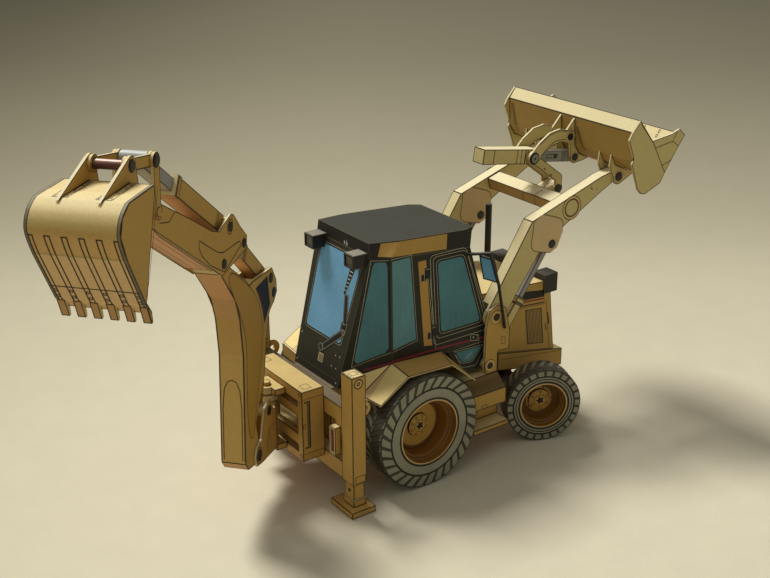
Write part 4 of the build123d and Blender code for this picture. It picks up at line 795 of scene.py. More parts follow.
    # tower, arm, lift cylinder
    tower = "tower_" + word
    on_tower = printer(tower, sheet, (36.8, 50))
    stamp(tower, "cream", sheet, ring(*LIFT_BASE, 1.95, 0.7), (LIFT_BASE[0] + 1.9, LIFT_BASE[1]), 0.06)
    on_tower("cream", ring(*TOWER_PIN, 2.2, 0.75), 0.06)
    on_tower("ink", ring(*TOWER_PIN, 2.7, 0.25), 0.06)
    stamp(tower, "fine", sheet, line([(42.6, 44.6), (44.6, 44.2), (44.6, 41.4), (42.6, 41.8)], 0.2, True),
          anchor=(38, 45))
    for spot in (LIFT_BASE, TOWER_PIN):
        pin_cap(tower, sheet, *spot, radius=1.35, height=0.45, look=2.9)
    for s2 in (s, -s):
        arm = side(s2, 40, s * ARM_Y)
        on_gusset = printer("loader_arms", arm, (64, 80))
        on_gusset("tan", [GUSSET], 0.06)
        on_gusset("ink", strokes(0.26, smooth(GUSSET_TOP, False), smooth(GUSSET_LOW, False)), 0.08)
        on_knee = printer("loader_arms", arm, ARM_KNEE)
        on_knee("cream", ring(*ARM_KNEE, 4.15, 0.9))
        on_knee("ink", ring(*ARM_KNEE, 4.75, 0.26), 0.08)
        on_knee("umber", ring(*ARM_KNEE, 3.45, 0.7), 0.08)
        stamp("loader_arms", "ink", arm, line([(87.4, 96.4), (86.7, 95.4), (88.0, 94.9)], 0.3)
              + disc(90.0, 94.6, 0.25, 8), anchor=(88, 94))
        pin_cap("loader_arms", arm, *LIFT_EYE, look=2.0)
    for s2 in (s, -s):
        plate = side(s2, 12, s * ARM_Y)
        stamp("loader_bucket", "beige", plate, ring(*LOADER_PIN, 2.35, 0.6), anchor=(100.6, 95.6))
        pin_cap("loader_bucket", plate, *LOADER_PIN, radius=1.8, look=2.6)
    for d0, d1 in ((26.2, 26.8), (28.0, 28.4), (14.0, 14.2), (8.0, 8.3)):
        stamp("lift_cylinder_" + word, "ink", sheet, [band(LIFT_BASE, LIFT_EYE, d0, d1, 1.75)],
              anchor=along(LIFT_BASE, LIFT_EYE, (d0 + d1) / 2 / LIFT_SPAN))

# cross tube
for y in (-2.0, -9.0):
    drape("loader_arms", "fine", TOP, [(71.2, y), (75.4, y)], 0.28)
    drape("loader_arms", "fine", REAR, [(y, 91.2), (y, 87.6)], 0.28)
    drape("loader_arms", "fine", FRONT, [(y, 93.0), (y, 89.4)], 0.28)

# hood and lamps from the front
stamp("hood", "black", FRONT, line([(-13.6, 29.4), (-13.6, 52.0), (13.6, 52.0), (13.6, 29.4)], 3.4),
      anchor=(-13.6, 40))
for s, word in SIDES:
    stamp("headlamp_" + word, "white", FRONT,
          [rounded(rect(s * HEADLAMP_Y - 2.0, 53.8, s * HEADLAMP_Y + 2.0, 59.2), 0.8)])
    stamp("work_lamp_" + word, "lens", REAR,
          [rounded(rect(s * WORK_LAMP_Y - 2.2, 83.9, s * WORK_LAMP_Y + 2.2, 87.9), 0.3)])
    stamp("work_lamp_" + word, "cutgrey", REAR,
          line(rounded(rect(s * WORK_LAMP_Y - 1.7, 84.4, s * WORK_LAMP_Y + 1.7, 87.4), 0.3), 0.16, True),
          lift=0.08)
    stamp("work_lamp_" + word, "lens", TOP,
          [rect(-18.9, s * WORK_LAMP_Y - 2.5, -13.6, s * WORK_LAMP_Y + 2.5)], lift=0.05)
    for face in (REAR, FRONT):
        glass = [(s * 23.6, 79.3), (s * 28.3, 79.1), (s * 28.3, 70.3), (s * 23.6, 70.5)]
        fill("mirror_" + word, "sky", face, glass, 8, 10, cut=False)
    for k in range(4):
        stamp("work_lamp_" + word, "umber", TOP,
              line([(-18.6, s * WORK_LAMP_Y - 2.0 + k * 1.3), (-13.9, s * WORK_LAMP_Y - 1.8 + k * 1.3)],
                   0.14), lift=0.07)

# ---------------------------------------------------------------- prints: loader bucket and tilt linkage
for s in (-1, 1):
    sheet = side(s)
    stamp("loader_bucket", "ink", sheet, line([(98.9, 121.6), (106.4, 113.2), (114.3, 99.8)], 0.3)
          + strokes(0.26, [(108.1, 110.9), (117.4, 112.0), (120.9, 109.6)], [(117.4, 112.0), (119.6, 115.4)],
                    [(112.4, 103.1), (117.0, 104.4)]), anchor=(101, 105), lift=0.06)
    link_top = smooth([(76.4, 110.2), (81.8, 113.4), (87.0, 114.2), (90.6, 113.5)], False)
    link_low = smooth([(77.2, 105.8), (83.0, 109.9), (88.0, 110.6), (90.4, 110.0)], False)
    stamp("tilt_link", "ink", sheet, strokes(0.24, link_top, link_low), anchor=(84, 112))
    stamp("tilt_link", "beige", sheet, ring(*LINK_END, 1.95, 0.55), anchor=(90, 112), lift=0.06)
    pin_cap("tilt_link", sheet, *LINK_END, radius=1.45, look=2.2)
    ear = side(s, 16)
    stamp("loader_bucket", "beige", ear, ring(*TILT_EYE, 2.0, 0.55), anchor=(96.6, 103.9))
    pin_cap("loader_bucket", ear, *TILT_EYE, radius=1.6, height=0.35, look=2.2)
    pin_cap("tilt_link", sheet, *TILT_TOP, radius=2.4, height=0.35, look=2.5)
    hub = circle(*TILT_TOP, 1.75)
    drop = side(s, 5.62)
    add_faces("tilt_link", "silver", [drop.at(a, b) for a, b in hub], [tuple(range(len(hub)))])
    eye_points = [drop.at(a, b) + Vector((0, s * 0.02, 0)) * MM for a, b in circle(*TILT_TOP, 0.5, 12)]
    add_faces("tilt_link", "black", eye_points, [tuple(range(12))])
    pin_cap("tilt_lever", sheet, *LEVER_FOOT, radius=1.8, look=2.0)
    stamp("tilt_lever", "black", sheet, disc(80.4, 99.7, 0.42, 10) + disc(84.0, 96.5, 0.42, 10),
          anchor=(82.0, 98.5))
    base, eye = TILT_BASE, TILT_EYE
    for d0, d1 in ((5.0, 5.35), (17.0, 17.3), (19.2, 19.5), (21.2, 21.7), (22.4, 22.7)):
        stamp("tilt_cylinder", "ink", sheet, [band(base, eye, d0, d1, 2.85)],
              anchor=along(base, eye, (d0 + 0.4) / TILT_SPAN))
    slot = band(base, eye, 33.4, 39.6, 0.7)
    stamp("tilt_rod", "ink", sheet, line(rounded(slot, 0.5), 0.3, True) + [band(base, eye, 37.6, 39.0, 0.6)],
          anchor=along(base, eye, 0.75))
    stamp("tilt_rod", "ink", sheet, [band(base, eye, 42.2, 42.5, 2.1), band(base, eye, 43.3, 43.6, 2.1)],
          anchor=along(base, eye, 0.8))

for y0, y1, z0, z1 in ((33.6, 31.2, 117.0, 105.4), (-4.8, -8.6, 114.8, 105.8)):
    width = 1.1
    strip_a, strip_b = [(y0, z0), (y1, z1)], [(y0 - width, z0), (y1 - width, z1)]
    for strip in (strip_a, strip_b):
        drape("loader_bucket", "fine", REAR, strip, 0.2)
    for k in range(12):
        p, q = along(*strip_a, (k + 0.2) / 12), along(*strip_b, (k + 0.8) / 12)
        wrap("loader_bucket", "fine", REAR, line([p, q], 0.22))
drape("loader_bucket", "fine", REAR, [(34.6, 105.0), (24.0, 104.4), (8.0, 104.4)], 0.24)
drape("loader_bucket", "fine", REAR, [(-26.0, 105.4), (-34.8, 101.6)], 0.24)
for k in range(9):
    y = -32.0 + k * 8.0
    for r in (122.9, 121.6):
        wrap("loader_bucket", "ink", TOP, ring(r, y, 0.42, 0.2, 12))
for s in (-1, 1):
    drape("loader_bucket", "silver", TOP, [(95.6, s * 35.5), (98.7, s * 35.5)], 0.8)

# ---------------------------------------------------------------- prints: hoe
BOOM_PANEL = [(41.0, 99.3), (42.0, 97.2), (39.6, 92.5), (35.2, 85.2), (31.6, 77.9), (30.0, 71.2),
              (30.2, 63.9), (31.6, 49.0), (31.4, 40.6), (30.0, 36.0), (27.4, 35.2), (24.6, 40.0),
              (20.6, 49.0), (16.6, 57.6), (13.9, 64.6), (13.2, 70.4), (15.3, 77.8), (19.6, 84.4),
              (27.4, 91.3), (34.9, 96.8), (39.0, 99.2)]
DECAL = [(18.4, 85.8), (6.4, 85.6), (5.4, 79.4), (4.8, 74.8), (11.3, 70.2), (12.9, 75.9), (15.2, 80.9)]
STICK_PANEL = [(64.6, 119.0), (50.8, 110.4), (46.6, 108.9), (32.6, 107.6), (31.0, 105.8), (46.6, 102.6),
               (57.6, 108.8), (63.4, 114.0), (65.2, 117.0)]
for s in (-1, 1):
    sheet = hoe_side(s)
    body_lines = smooth(BOOM_PANEL)
    on_boom = printer("boom", sheet, (26, 66))
    on_boom("olive", [body_lines])
    on_boom("ink", line(body_lines, 0.3, True), 0.08)
    on_decal = printer("boom", sheet, (12, 78))
    on_decal("black", [DECAL], 0.09)
    on_decal("magenta", line([(17.0, 84.6), (14.2, 80.4), (12.1, 75.6), (10.9, 71.6)], 0.5), 0.11)
    stamp("boom", "fine", sheet, ring(*BOOM_FOOT, 2.7, 0.24), anchor=(28.6, 29), lift=0.06)
    for spot in (BOOM_CYL_EYE, STICK_CYL_BASE):
        pin_cap("boom", sheet, *spot, look=2.2)
    pin_cap("swing_post", sheet, *BOOM_CYL_BASE, radius=1.75, look=2.0)
    pin_cap("swing_post", sheet, *BOOM_FOOT, radius=2.1, look=3.1)
    stamp("swing_post", "ink", sheet, ring(*BOOM_FOOT, 2.8, 0.24), anchor=(22.6, 26.6), lift=0.06)
    stamp("stick", "ink", sheet, line(STICK_PANEL, 0.3, True)
          + line([(80.4, 133.0), (84.3, 131.4), (90.6, 133.2)], 0.26), anchor=(45, 112), lift=0.06)
    stamp("stick", "ink", sheet, ring(*BUCKET_CYL_BASE, 2.35, 0.3), anchor=(36.5, 112), lift=0.06)
    for spot in (BUCKET_CYL_BASE, STICK_CYL_EYE, STICK_PIVOT):
        pin_cap("stick", sheet, *spot, radius=1.6, look=2.4)
    pin_cap("side_links", sheet, *LINK_L, radius=1.75, look=1.9)
    pin_cap("stick", sheet, *LINK_S, radius=1.5, look=1.8)
    stamp("side_links", "ink", sheet, ring(*LINK_L, 1.95, 0.2), anchor=(LINK_L[0] + 1.9, 150.0), lift=0.06)
    pin_cap("hoe_bucket", sheet, *EAR_PIN, radius=1.7, look=2.2)
    pin_cap("hoe_bucket", sheet, *BUCKET_PIN, radius=1.5, look=1.9)
    for node, base, eye, half, marks in (
            ("bucket_cylinder", BUCKET_CYL_BASE, LINK_L, 2.75,
             ((40.2, 40.9), (38.0, 38.5), (7.2, 7.5), (5.9, 6.2))),
            ("stick_cylinder", STICK_CYL_BASE, STICK_CYL_EYE, 2.5, ((24.6, 25.2), (23.4, 23.8), (5.0, 5.3))),
            ("boom_cylinder", BOOM_CYL_BASE, BOOM_CYL_EYE, 2.2, ((24.4, 25.0), (23.4, 23.7), (5.0, 5.3)))):
        length = math.dist(base, eye)
        for d0, d1 in marks:
            stamp(node, "ink", sheet, [band(base, eye, d0, d1, half)],
                  anchor=along(base, eye, (d0 + d1) / 2 / length), lift=0.06)
    stamp("hoe_bucket", "ink", sheet, line([(106.0, 148.8), (110.6, 138.0), (115.0, 128.0), (117.4, 123.9)],
          0.24), anchor=(118, 138), lift=0.06)
    stamp("swing_post", "ink", sheet, strokes(0.24, [(8.6, 30.6), (14.2, 30.4), (16.4, 27.0), (16.8, 22.8)],
                                              [(14.2, 30.4), (13.0, 25.0)]), anchor=(14, 33), lift=0.06)
arch = [(-3.3, 29.9), (-3.3, 48.5), (-2.7, 55.4), (-1.5, 58.0), (0, 58.7), (1.5, 58.0), (2.7, 55.4),
        (3.3, 48.5), (3.3, 29.9)]
drape("boom", "ink", HOE_BACK, arch, 0.3)
for d in (-4.0, 4.0):
    drape("boom", "fine", HOE_BACK, [(d, 29.6), (d, 96.0)], 0.16)
for d in (-3.4, -1.6, 1.6, 3.4):
    drape("stick", "fine", HOE_UNDER, [(50.5, d), (89.0, d)], 0.2)

# hoe bucket: its rolled back is one smooth sheet over the folded one
BACK = [(116.6, 149.66), (119.6, 149.67), (122.4, 149.66), (126.68, 147.28), (128.5, 143.0), (126.02, 136.2),
        (118.09, 121.95), (115.42, 118.6)]
curve = smooth(BACK[1:6] + [(123.4, 131.5)], closed=False, steps=7)[7:-7]
curve = [BACK[0]] + [tuple(p) for p in curve] + BACK[5:]
rows = [[SWING + HOE_R * r + HOE_D * d + UP * z for d in (-SHELL_HALF, -6.0, 0.0, 6.0, SHELL_HALF)]
        for r, z in curve]
skin = bpy.data.meshes.new("hoe_bucket_back")
crease = curve.index(BACK[5])
rows.insert(crease, rows[crease])          # the roll ends in a crease, and the flat lip starts there
skin.from_pydata([tuple(p * MM) for row in rows for p in row], [],
                 [(i * 5 + j, i * 5 + j + 1, i * 5 + j + 6, i * 5 + j + 5) for i in range(len(rows) - 1)
                  for j in range(4) if i != crease])
skin.update()
for polygon in skin.polygons:
    polygon.use_smooth = True
middle = skin.polygons[len(skin.polygons) // 2]
if middle.normal.dot(HOE_R) < 0:
    skin.flip_normals()
# the roll's colours grow paler towards the up-facing faces: a painted highlight
ROLLED = [(-1, (200, 158, 96)), (-0.3, (196, 158, 92)), (0, (190, 156, 84)), (0.4, (216, 188, 118)),
          (1, (240, 220, 160))]
skin.materials.append(card("rolled_card", ROLLED, wear=0.04))
skin.materials.append(card("lip_card", [(-1, (208, 172, 116)), (1, (212, 178, 122))], wear=0.04))
for polygon in skin.polygons:
    if min(skin.vertices[i].co.z for i in polygon.vertices) < (BACK[5][1] - 0.05) * MM:
        polygon.material_index = 1
        polygon.use_smooth = False
skin_piece = bpy.data.objects.new("hoe_bucket_back", skin)
bpy.context.scene.collection.objects.link(skin_piece)
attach(skin_piece, "hoe_bucket")
tree_of("hoe_bucket")
shell = NODES["hoe_bucket"].data
lid = len(shell.vertices)
TREES["hoe_bucket"] = BVHTree.FromPolygons(
    [v.co for v in shell.vertices] + [v.co for v in skin.vertices],
    [tuple(p.vertices) for p in shell.polygons] + [tuple(lid + i for i in p.vertices) for p in skin.polygons])
for k in range(TEETH):
    centre = -LIP_HALF + TOOTH_PITCH / 4 + TOOTH_PITCH * k
    a, b = max(-11.4, centre - 0.68), min(11.4, centre + 0.68)
    drape("hoe_bucket", "ink", HOE_BACK, [(a, 120.9), (a, 142.0), (b, 142.0), (b, 120.9)], 0.36)
    for z in (124.5, 122.5):
        wrap("hoe_bucket", "ink", HOE_BACK, ring((a + b) / 2, z, 0.42, 0.22, 12), lift=0.08)
drape("hoe_bucket", "ink", HOE_BACK, [(-11.9, 125.9), (11.9, 125.9)], 0.3)
for s in (-1, 1):
    edge = [(108.2, 149.62)] + curve
    for i, (p, q) in enumerate(zip(edge, edge[1:])):
        run = (Vector(q) - Vector(p))
        if run.length < 1e-6:
            continue
        out = Vector((-run.y, run.x)).normalized()
        out = out if out.dot(Vector((0.7, 0.7))) > 0 or q[1] < 140 and out.x > 0 else -out
        for ink, d0, d1, up in (("speck", BORDER, 12.22, 0.05), ("ink", 11.34, BORDER, 0.06),
                                ("ink", 12.12, SHELL_HALF, 0.07)):
            quad = [(p[0], p[1], d0), (q[0], q[1], d0), (q[0], q[1], d1), (p[0], p[1], d1)]
            points = [(SWING + HOE_R * (r + out.x * up) + UP * (z + out.y * up) + HOE_D * s * d) * MM
                      for r, z, d in quad]
            add_faces("hoe_bucket", ink, points, [(0, 1, 2, 3)])
    r0, d0, d1 = 109.0, s * EAR_Y - 2.0, s * EAR_Y + 2.0
    frame_lines = []
    for box in (rect(r0, d0, 122.2, d1), rect(r0 + 0.6, d0 + 0.5, r0 + 2.2, d1 - 0.5),
                rect(120.6, d0 + 0.4, 121.8, d1 - 0.4)):
        frame_lines += line(box, 0.2, True)
    for r in (112.6, 117.0):
        frame_lines += ring(r, d1 - 0.6, 0.3, 0.16, 8)
    stamp("hoe_bucket", "ink", HOE_TOP, frame_lines, anchor=(115, s * 8.5), lift=0.08)

for s, word in SIDES:
    # painted light: the fender's up- and rear-facing facets are painted bright as if in direct light, its
    # flatter tops painted darker as shade, and the tan triangle is painted shade on facet B
    tint("fender_" + word, "sun", lambda n, c: n.z > 0.3 and n.x < -0.3)
    tint("fender_" + word, "sand", lambda n, c: n.z > 0.3 and n.x >= -0.3)
    stamp("fender_" + word, "tan", TOP, [[(-7.4, s * 22.2), (-20.5, s * 22.1), (-20.2, s * 26.2)]],
          anchor=(-17.5, s * 23.5), lift=0.04)
for word in ("right", "left"):
    tint("stabiliser_" + word, "sand", lambda n, c: n.z > 0.9 and c.z < 5)
tint("loader_bucket", "shade", lambda n, c: n.x < -0.6 and n.z < 0.3)
tint("rear_frame", "plank", lambda n, c: n.z > 0.9 and c.z > 30 and abs(c.y) < 29)
tint("chassis", "plank", lambda n, c: n.z > 0.9 and 38 < c.z < 39)

# ---------------------------------------------------------------- prints: carriage, posts, legs, rear lamps
for s, word in SIDES:
    sheet = side(s)
    stamp("carriage", "ink", TOP, line(rect(-40.6, s * PAD_Y - 1.7, -37.6, s * PAD_Y + 1.7), 0.2, True),
          anchor=(-38, s * 10))
    on_end = printer("carriage", sheet, (-38.2, 30))
    on_end("ink", line([(-42.0, 38.9), (-39.7, 38.9), (-39.7, 20.7), (-42.0, 20.7)], 0.5), 0.06)
    on_end("umber", [rect(-40.8, 21.2, -40.0, 38.4)], 0.06)
    on_end("fine", strokes(0.2, [(-42.6, 40.1), (-34.0, 40.1)], [(-42.6, 18.3), (-34.0, 18.3)])
           + line(rect(-42.4, 28.6, -41.6, 30.4), 0.2, True), 0.06)
    for z in (41.7, 17.2):
        stamp("carriage", "ink", REAR, ring(s * 15.9, z, 0.62, 0.28, 12), lift=0.06)
    on_post = printer("rear_frame", sheet, (-31, 40))
    on_post("cream", ring(-31.2, 50.7, 1.15, 0.6))
    on_post("ink", ring(-31.2, 50.7, 1.65, 0.45) + ring(-31.2, 50.7, 0.6, 0.35, 16)
            + line(rect(-32.8, 11.7, -28.7, 14.4), 0.24, True), 0.07)
    on_cap = printer("rear_frame", TOP, (-31, s * POST_Y))
    on_cap("ink", line(rect(-32.3, s * POST_Y - 1.3, -29.8, s * POST_Y + 1.3), 0.2, True)
           + line(rect(-33.4, s * POST_Y - 2.9, -28.7, s * POST_Y + 2.9), 0.2, True))
    for k in range(5):
        y = s * POST_Y - 2.9 + k * 1.45
        on_cap("ink", strokes(0.16, [(-33.4, y), (-32.3, y + 0.5)], [(-29.8, y), (-28.7, y - 0.4)]))
    leg = "stabiliser_" + word
    stamp(leg, "black", REAR, disc(s * POST_Y, 8.0, 0.75, 16), lift=0.06)
    for z in (3.3, 4.5):
        for sh, a0, a1, an in ((REAR, s * POST_Y - 2.3, s * POST_Y + 2.3, (s * POST_Y, 6.4)),
                               (sheet, -33.0, -29.2, (-31, 6.4))):
            stamp(leg, "ink", sh, line([(a0, z), (a1, z)], 0.22), anchor=an)
    stamp("rear_lamp_" + word, "magenta", REAR,
          [rect(s * REAR_LAMP_Y - 1.0, 21.6, s * REAR_LAMP_Y + 1.0, 30.4)], lift=0.06)
    for k in range(5):
        stamp("rear_lamp_" + word, "red", REAR,
              [rect(s * REAR_LAMP_Y - 0.7, 22.1 + k * 1.7, s * REAR_LAMP_Y + 0.7, 23.0 + k * 1.7)],
              anchor=(s * REAR_LAMP_Y, 26), lift=0.08)
    on_brace = printer("rear_frame", sheet, (-24.2, 38))
    on_brace("cream", ring(-26.6, 38.0, 2.1, 1.3))
    on_brace("ink", ring(-26.6, 38.0, 3.2, 0.24) + ring(-26.3, 38.0, 1.35, 0.25), 0.07)
stamp("carriage", "fine", REAR, strokes(0.2, [(-16.4, 38.7), (-9.0, 38.7)], [(9.0, 38.7), (16.4, 38.7)]),
      anchor=(14, 40))

# ---------------------------------------------------------------- prints: wheels
STEER = math.radians(-23.5)
REAR_FACE_Y = 35.7           # outer face of the rear tyres
KING_X, KING_Y = 61.9, 23.2
KING_TO_FACE = 13.38         # kingpin to the outer face of the front tyre
AXLE = Vector((-math.sin(STEER), math.cos(STEER), 0))
WHEELS = []
for s, word in SIDES:
    WHEELS.append(dict(name="rear", word=word, centre=Vector((0, s * REAR_FACE_Y, 22)), out=Vector((0, s, 0)),
                       u=Vector((1, 0, 0)), s=s))
    centre = Vector((KING_X, s * KING_Y, 15.2)) + AXLE * s * KING_TO_FACE
    WHEELS.append(dict(name="front", word=word, centre=centre, out=AXLE * s, u=Vector((AXLE.y, -AXLE.x, 0)),
                       s=s))
TYRE = {"rear": dict(r=22.0, width=13.5, rim=12.9, lugs=30, wall=(13.7, 16.9), bars=(17.55, 21.8), wide=0.76,
                     rings=((13.2, 13.6),), seam=17.2, bolts=8),
        "front": dict(r=15.2, width=9.5, rim=9.7, lugs=26, wall=(10.1, 12.2), bars=(12.75, 15.0), wide=0.80,
                      rings=((10.0, 10.5), (11.2, 11.6)), seam=12.4, bolts=6)}


def polar(r, degrees):
    a = math.radians(degrees)
    return (r * math.cos(a), r * math.sin(a))


def annulus(r0, r1, count=48):
    return ring(0, 0, (r0 + r1) / 2, r1 - r0, count)


for wheel in WHEELS:
    tyre, rim = (wheel["name"] + part + wheel["word"] for part in ("_tyre_", "_rim_"))
    size = TYRE[wheel["name"]]
    turn = wheel["s"]
    for face in (1, -1):
        origin = wheel["centre"] + wheel["out"] * (face * 40)
        sheet = Sheet(origin, wheel["u"], UP, -wheel["out"] * face)
        skew = 8.0 * turn * face if wheel["name"] == "rear" else 0.0
        pitch = 360 / size["lugs"]
        lugs, wedges = [], []
        wall, (r0, r1), wide, seam = size["wall"], size["bars"], size["wide"], size["seam"]
        on_tyre = printer(tyre, sheet, ((wall[0] + wall[1]) / 2, 0))
        for k in range(size["lugs"]):
            a = k * pitch
            half = pitch * wide / 2
            lugs.append([polar(r0, a - half), polar(r1, a - half * 0.95 + skew),
                         polar(r1, a + half * 0.95 + skew), polar(r0, a + half)])
            if wheel["name"] == "rear":
                b = a + pitch / 2
                gap = pitch * (1 - wide) / 2 * 0.5
                wedges.append([polar(r0 + 0.5, b - gap * 0.5 + skew * 0.12),
                               polar(r1 - 1.6, b - gap + skew * 0.62),
                               polar(r1 - 1.6, b + gap + skew * 0.62)])
        on_tyre("wall", annulus(*wall))
        for q0, q1 in size["rings"]:
            on_tyre("black", annulus(q0, q1), 0.07)
        on_tyre("black", annulus(seam - 0.2, seam + 0.2), 0.07)
        on_tyre("lug", lugs)
        on_tyre("black", [q for lug in lugs for q in line(lug, 0.24, True)], 0.07)
        if wedges:
            on_tyre("tread", wedges, 0.06)
        if face == 1:
            lip = size["rim"]
            stamp(rim, "cream", sheet, annulus(lip - 0.55, lip - 0.08), anchor=(lip - 0.35, 0), lift=0.05)
            bolts = size["bolts"]
            wrap(rim, "rust", sheet, annulus(lip - 2.9, lip - 2.2))
            wrap(rim, "ink", sheet, annulus(lip - 1.5, lip - 1.3) + annulus(lip - 3.3, lip - 3.1)
                 + annulus(lip - 4.2, lip - 4.0), lift=0.07)
            wrap(rim, "ochre", sheet, annulus(4.6, lip - 4.3) + annulus(2.5, 4.3) + annulus(0.1, 2.3))
            wrap(rim, "ink", sheet, annulus(4.3, 4.55) + annulus(2.3, 2.45), lift=0.07)
            star = [polar(1.9 if k % 2 else 1.0, 36 * k) for k in range(10)]
            stamp(rim, "black", sheet, [star], anchor=(0.8, 0), lift=0.09)
            for k in range(bolts):
                wrap(rim, "ink", sheet, ring(*polar(3.45, 360 * (k + 0.5) / bolts), 0.42, 0.2, 10), lift=0.08)
            if wheel["name"] == "front":
                for k in range(5):
                    wrap(rim, "ink", sheet, line([polar(4.6, 72 * k), polar(lip - 4.3, 72 * k)], 0.5), 0.07)
    # tread bars, slanted from each edge to the middle
    count = size["lugs"]
    for k in range(count):
        for half_side in (0, 1):
            middle = size["width"] / 2
            y0, y1 = (middle + 0.2, size["width"] - 0.4) if half_side else (0.4, middle - 0.2)
            a0 = 360 / count * (k + 0.5 * half_side)
            lean = 10 if half_side == 0 else -10
            quad = []
            for y, da in ((y0, 0), (y1, lean)):
                for off in (-0.27, 0.27):
                    a = math.radians(a0 + da + off * 360 / count)
                    radial = wheel["u"] * math.cos(a) + UP * math.sin(a)
                    quad.append((wheel["centre"] - wheel["out"] * y + radial * (size["r"] + 0.06)) * MM)
            add_faces(BODY_OF[tyre], "lug", [quad[0], quad[1], quad[3], quad[2]], [(0, 1, 2, 3)])
            for i, j in ((0, 2), (1, 3)):
                axis = (quad[j] - quad[i]).normalized()
                centre_line = wheel["centre"] * MM
                radial = (quad[i] - centre_line)
                radial -= wheel["out"] * radial.dot(wheel["out"])
                across = axis.cross(radial.normalized()) * 0.11 * MM
                up = radial.normalized() * 0.03 * MM
                edge = [quad[i] - across + up, quad[i] + across + up, quad[j] + across + up,
                        quad[j] - across + up]
                add_faces(BODY_OF[tyre], "black", edge, [(0, 1, 2, 3)])


# ---------------------------------------------------------------- turn the batches into pieces
def flush():
    for (body, ink), (verts, faces) in sorted(BATCH.items()):
        mesh = bpy.data.meshes.new("print_%s_%s" % (body, ink))
        mesh.from_pydata([tuple(v) for v in verts], [], faces)
        mesh.validate()
        mesh.update()
        mesh.materials.append(INKS[ink][0])
        obj = bpy.data.objects.new(mesh.name, mesh)
        bpy.context.scene.collection.objects.link(obj)
        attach(obj, body)


flush()

# ---------------------------------------------------------------- floor, light and camera
def backdrop():
    """A wide sheet of drawing paper, its colour darkened away from the window and towards one side as painted
    shade.
    """
    bm = bmesh.new()
    away = Vector((0.582, 0.813, 0))
    across = Vector((away.y, -away.x, 0))
    half, cells = 2500, 20
    rows = [k * 2 * half / cells - half for k in range(cells + 1)]
    grid = [[bm.verts.new((away * a + across * b) * MM) for b in rows] for a in rows]
    for i in range(cells):
        for j in range(cells):
            bm.faces.new((grid[i][j], grid[i + 1][j], grid[i + 1][j + 1], grid[i][j + 1]))
    mesh = bpy.data.meshes.new("backdrop")
    bm.to_mesh(mesh)
    bm.free()
    obj = bpy.data.objects.new("backdrop", mesh)
    bpy.context.scene.collection.objects.link(obj)
    obj.location.z = -0.0002
    mat = card("backdrop_paper", [(-1, (226, 219, 194)), (1, (230, 223, 198))], rough=0.85, grain=0.22,
               mottle=0.10, bump=0.5, spec=0.2)
    nt = mat.node_tree
    n, link = nt.nodes, nt.links.new
    coord = n.new("ShaderNodeTexCoord")

    def times(a, b):
        node = n.new("ShaderNodeVectorMath")
        node.operation = "MULTIPLY"
        link(a, node.inputs[0])
        link(b, node.inputs[1])
        return node.outputs[0]

    shade = None
    # painted shade: ramps that darken the paper away from the window and across to one side
    for direction, first, last, stops in (
            (away, -0.3, 1.2, ((0.0, 1.0), (0.2, 1.0), (0.31, 0.80), (0.38, 0.56), (0.47, 0.44), (0.59, 0.33),
                               (0.72, 0.26), (1.0, 0.25))),
            (across, -0.45, 0.45, ((0.0, 0.42), (0.15, 0.55), (0.33, 0.84), (0.48, 1.0), (1.0, 1.0)))):
        dot = n.new("ShaderNodeVectorMath")
        dot.operation = "DOT_PRODUCT"
        link(coord.outputs["Object"], dot.inputs[0])
        dot.inputs[1].default_value = direction
        span = n.new("ShaderNodeMapRange")
        span.inputs["From Min"].default_value = first
        span.inputs["From Max"].default_value = last
        link(dot.outputs["Value"], span.inputs["Value"])
        ramp = color_ramp(n, [(at, (level, level * (0.985 + 0.015 * level), level * (0.86 + 0.14 * level), 1))
                              for at, level in stops])
        ramp.color_ramp.interpolation = "B_SPLINE"
        link(span.outputs["Result"], ramp.inputs["Fac"])
        shade = times(shade, ramp.outputs["Color"]) if shade else ramp.outputs["Color"]
    base = n["Principled BSDF"].inputs["Base Color"]
    link(times(base.links[0].from_socket, shade), base)
    mesh.materials.append(mat)


backdrop()


def area_light(name, position, target, power, width, height, color):
    data = bpy.data.lights.new(name, "AREA")
    data.shape = "RECTANGLE"
    data.size, data.size_y = width, height
    data.energy = power
    data.color = color
    obj = bpy.data.objects.new(name, data)
    obj.location = position
    obj.rotation_euler = (Vector(target) - Vector(position)).to_track_quat("-Z", "Y").to_euler()
    bpy.context.scene.collection.objects.link(obj)


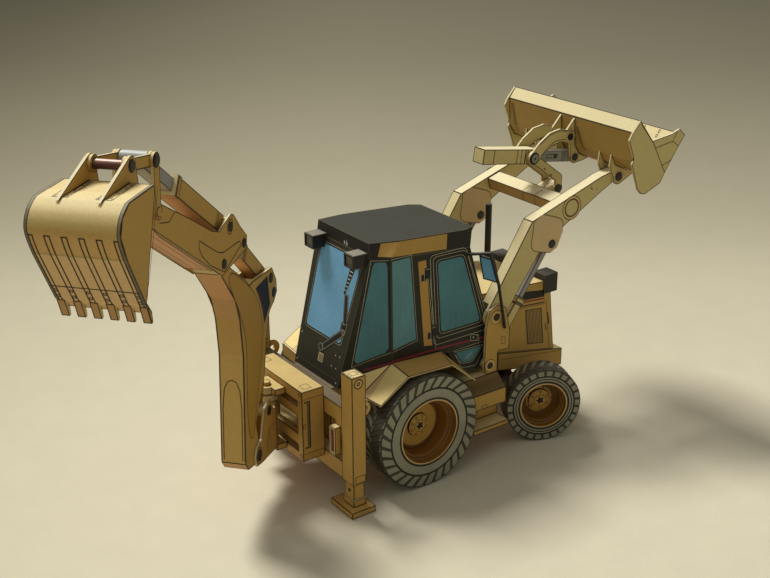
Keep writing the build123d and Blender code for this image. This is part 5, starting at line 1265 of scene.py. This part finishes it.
area_light("window", (-0.12, 0.93, 1.53), (0.0, 0.0, 0.04), 28, 0.50, 0.50, (1.0, 0.975, 0.92))
area_light("sky_fill", (-0.75, -0.15, 0.9), (0.0, 0.0, 0.05), 1.2, 0.9, 0.9, (1.0, 0.985, 0.95))

world = bpy.data.worlds.new("room")
bpy.context.scene.world = world
world.use_nodes = True
light = world.node_tree.nodes["Background"]
light.inputs[0].default_value = (1.0, 0.97, 0.89, 1)
light.inputs[1].default_value = 0.22
seen = world.node_tree.nodes.new("ShaderNodeBackground")      # what shows past the paper's edge
seen.inputs[0].default_value = (0.24, 0.225, 0.165, 1)
path = world.node_tree.nodes.new("ShaderNodeLightPath")
either = path.outputs["Is Camera Ray"]
for ray in ("Is Glossy Ray", "Is Transmission Ray"):
    larger = world.node_tree.nodes.new("ShaderNodeMath")
    larger.operation = "MAXIMUM"
    world.node_tree.links.new(either, larger.inputs[0])
    world.node_tree.links.new(path.outputs[ray], larger.inputs[1])
    either = larger.outputs[0]
choose = world.node_tree.nodes.new("ShaderNodeMixShader")
world.node_tree.links.new(either, choose.inputs[0])
world.node_tree.links.new(light.outputs[0], choose.inputs[1])
world.node_tree.links.new(seen.outputs[0], choose.inputs[2])
world.node_tree.links.new(choose.outputs[0], world.node_tree.nodes["World Output"].inputs[0])

EYE = Vector((-238.902, -341.761, 237.723)) * MM
AHEAD = Vector((0.53828, 0.75226, -0.37995)).normalized()
camera_data = bpy.data.cameras.new("camera")
camera_data.lens = 56.58
camera_data.sensor_width = 36
camera_data.clip_start = 0.01
camera_data.clip_end = 10
camera = bpy.data.objects.new("camera", camera_data)
right = AHEAD.cross(UP).normalized()
above = right.cross(AHEAD).normalized()
roll = math.radians(-0.193)
r2 = right * math.cos(roll) + above * math.sin(roll)
u2 = above * math.cos(roll) - right * math.sin(roll)
camera.matrix_world = Matrix.Translation(EYE) @ Matrix((
    (r2.x, u2.x, -AHEAD.x), (r2.y, u2.y, -AHEAD.y), (r2.z, u2.z, -AHEAD.z))).to_4x4()
bpy.context.scene.collection.objects.link(camera)
bpy.context.scene.camera = camera
bpy.context.scene.view_settings.view_transform = "Standard"
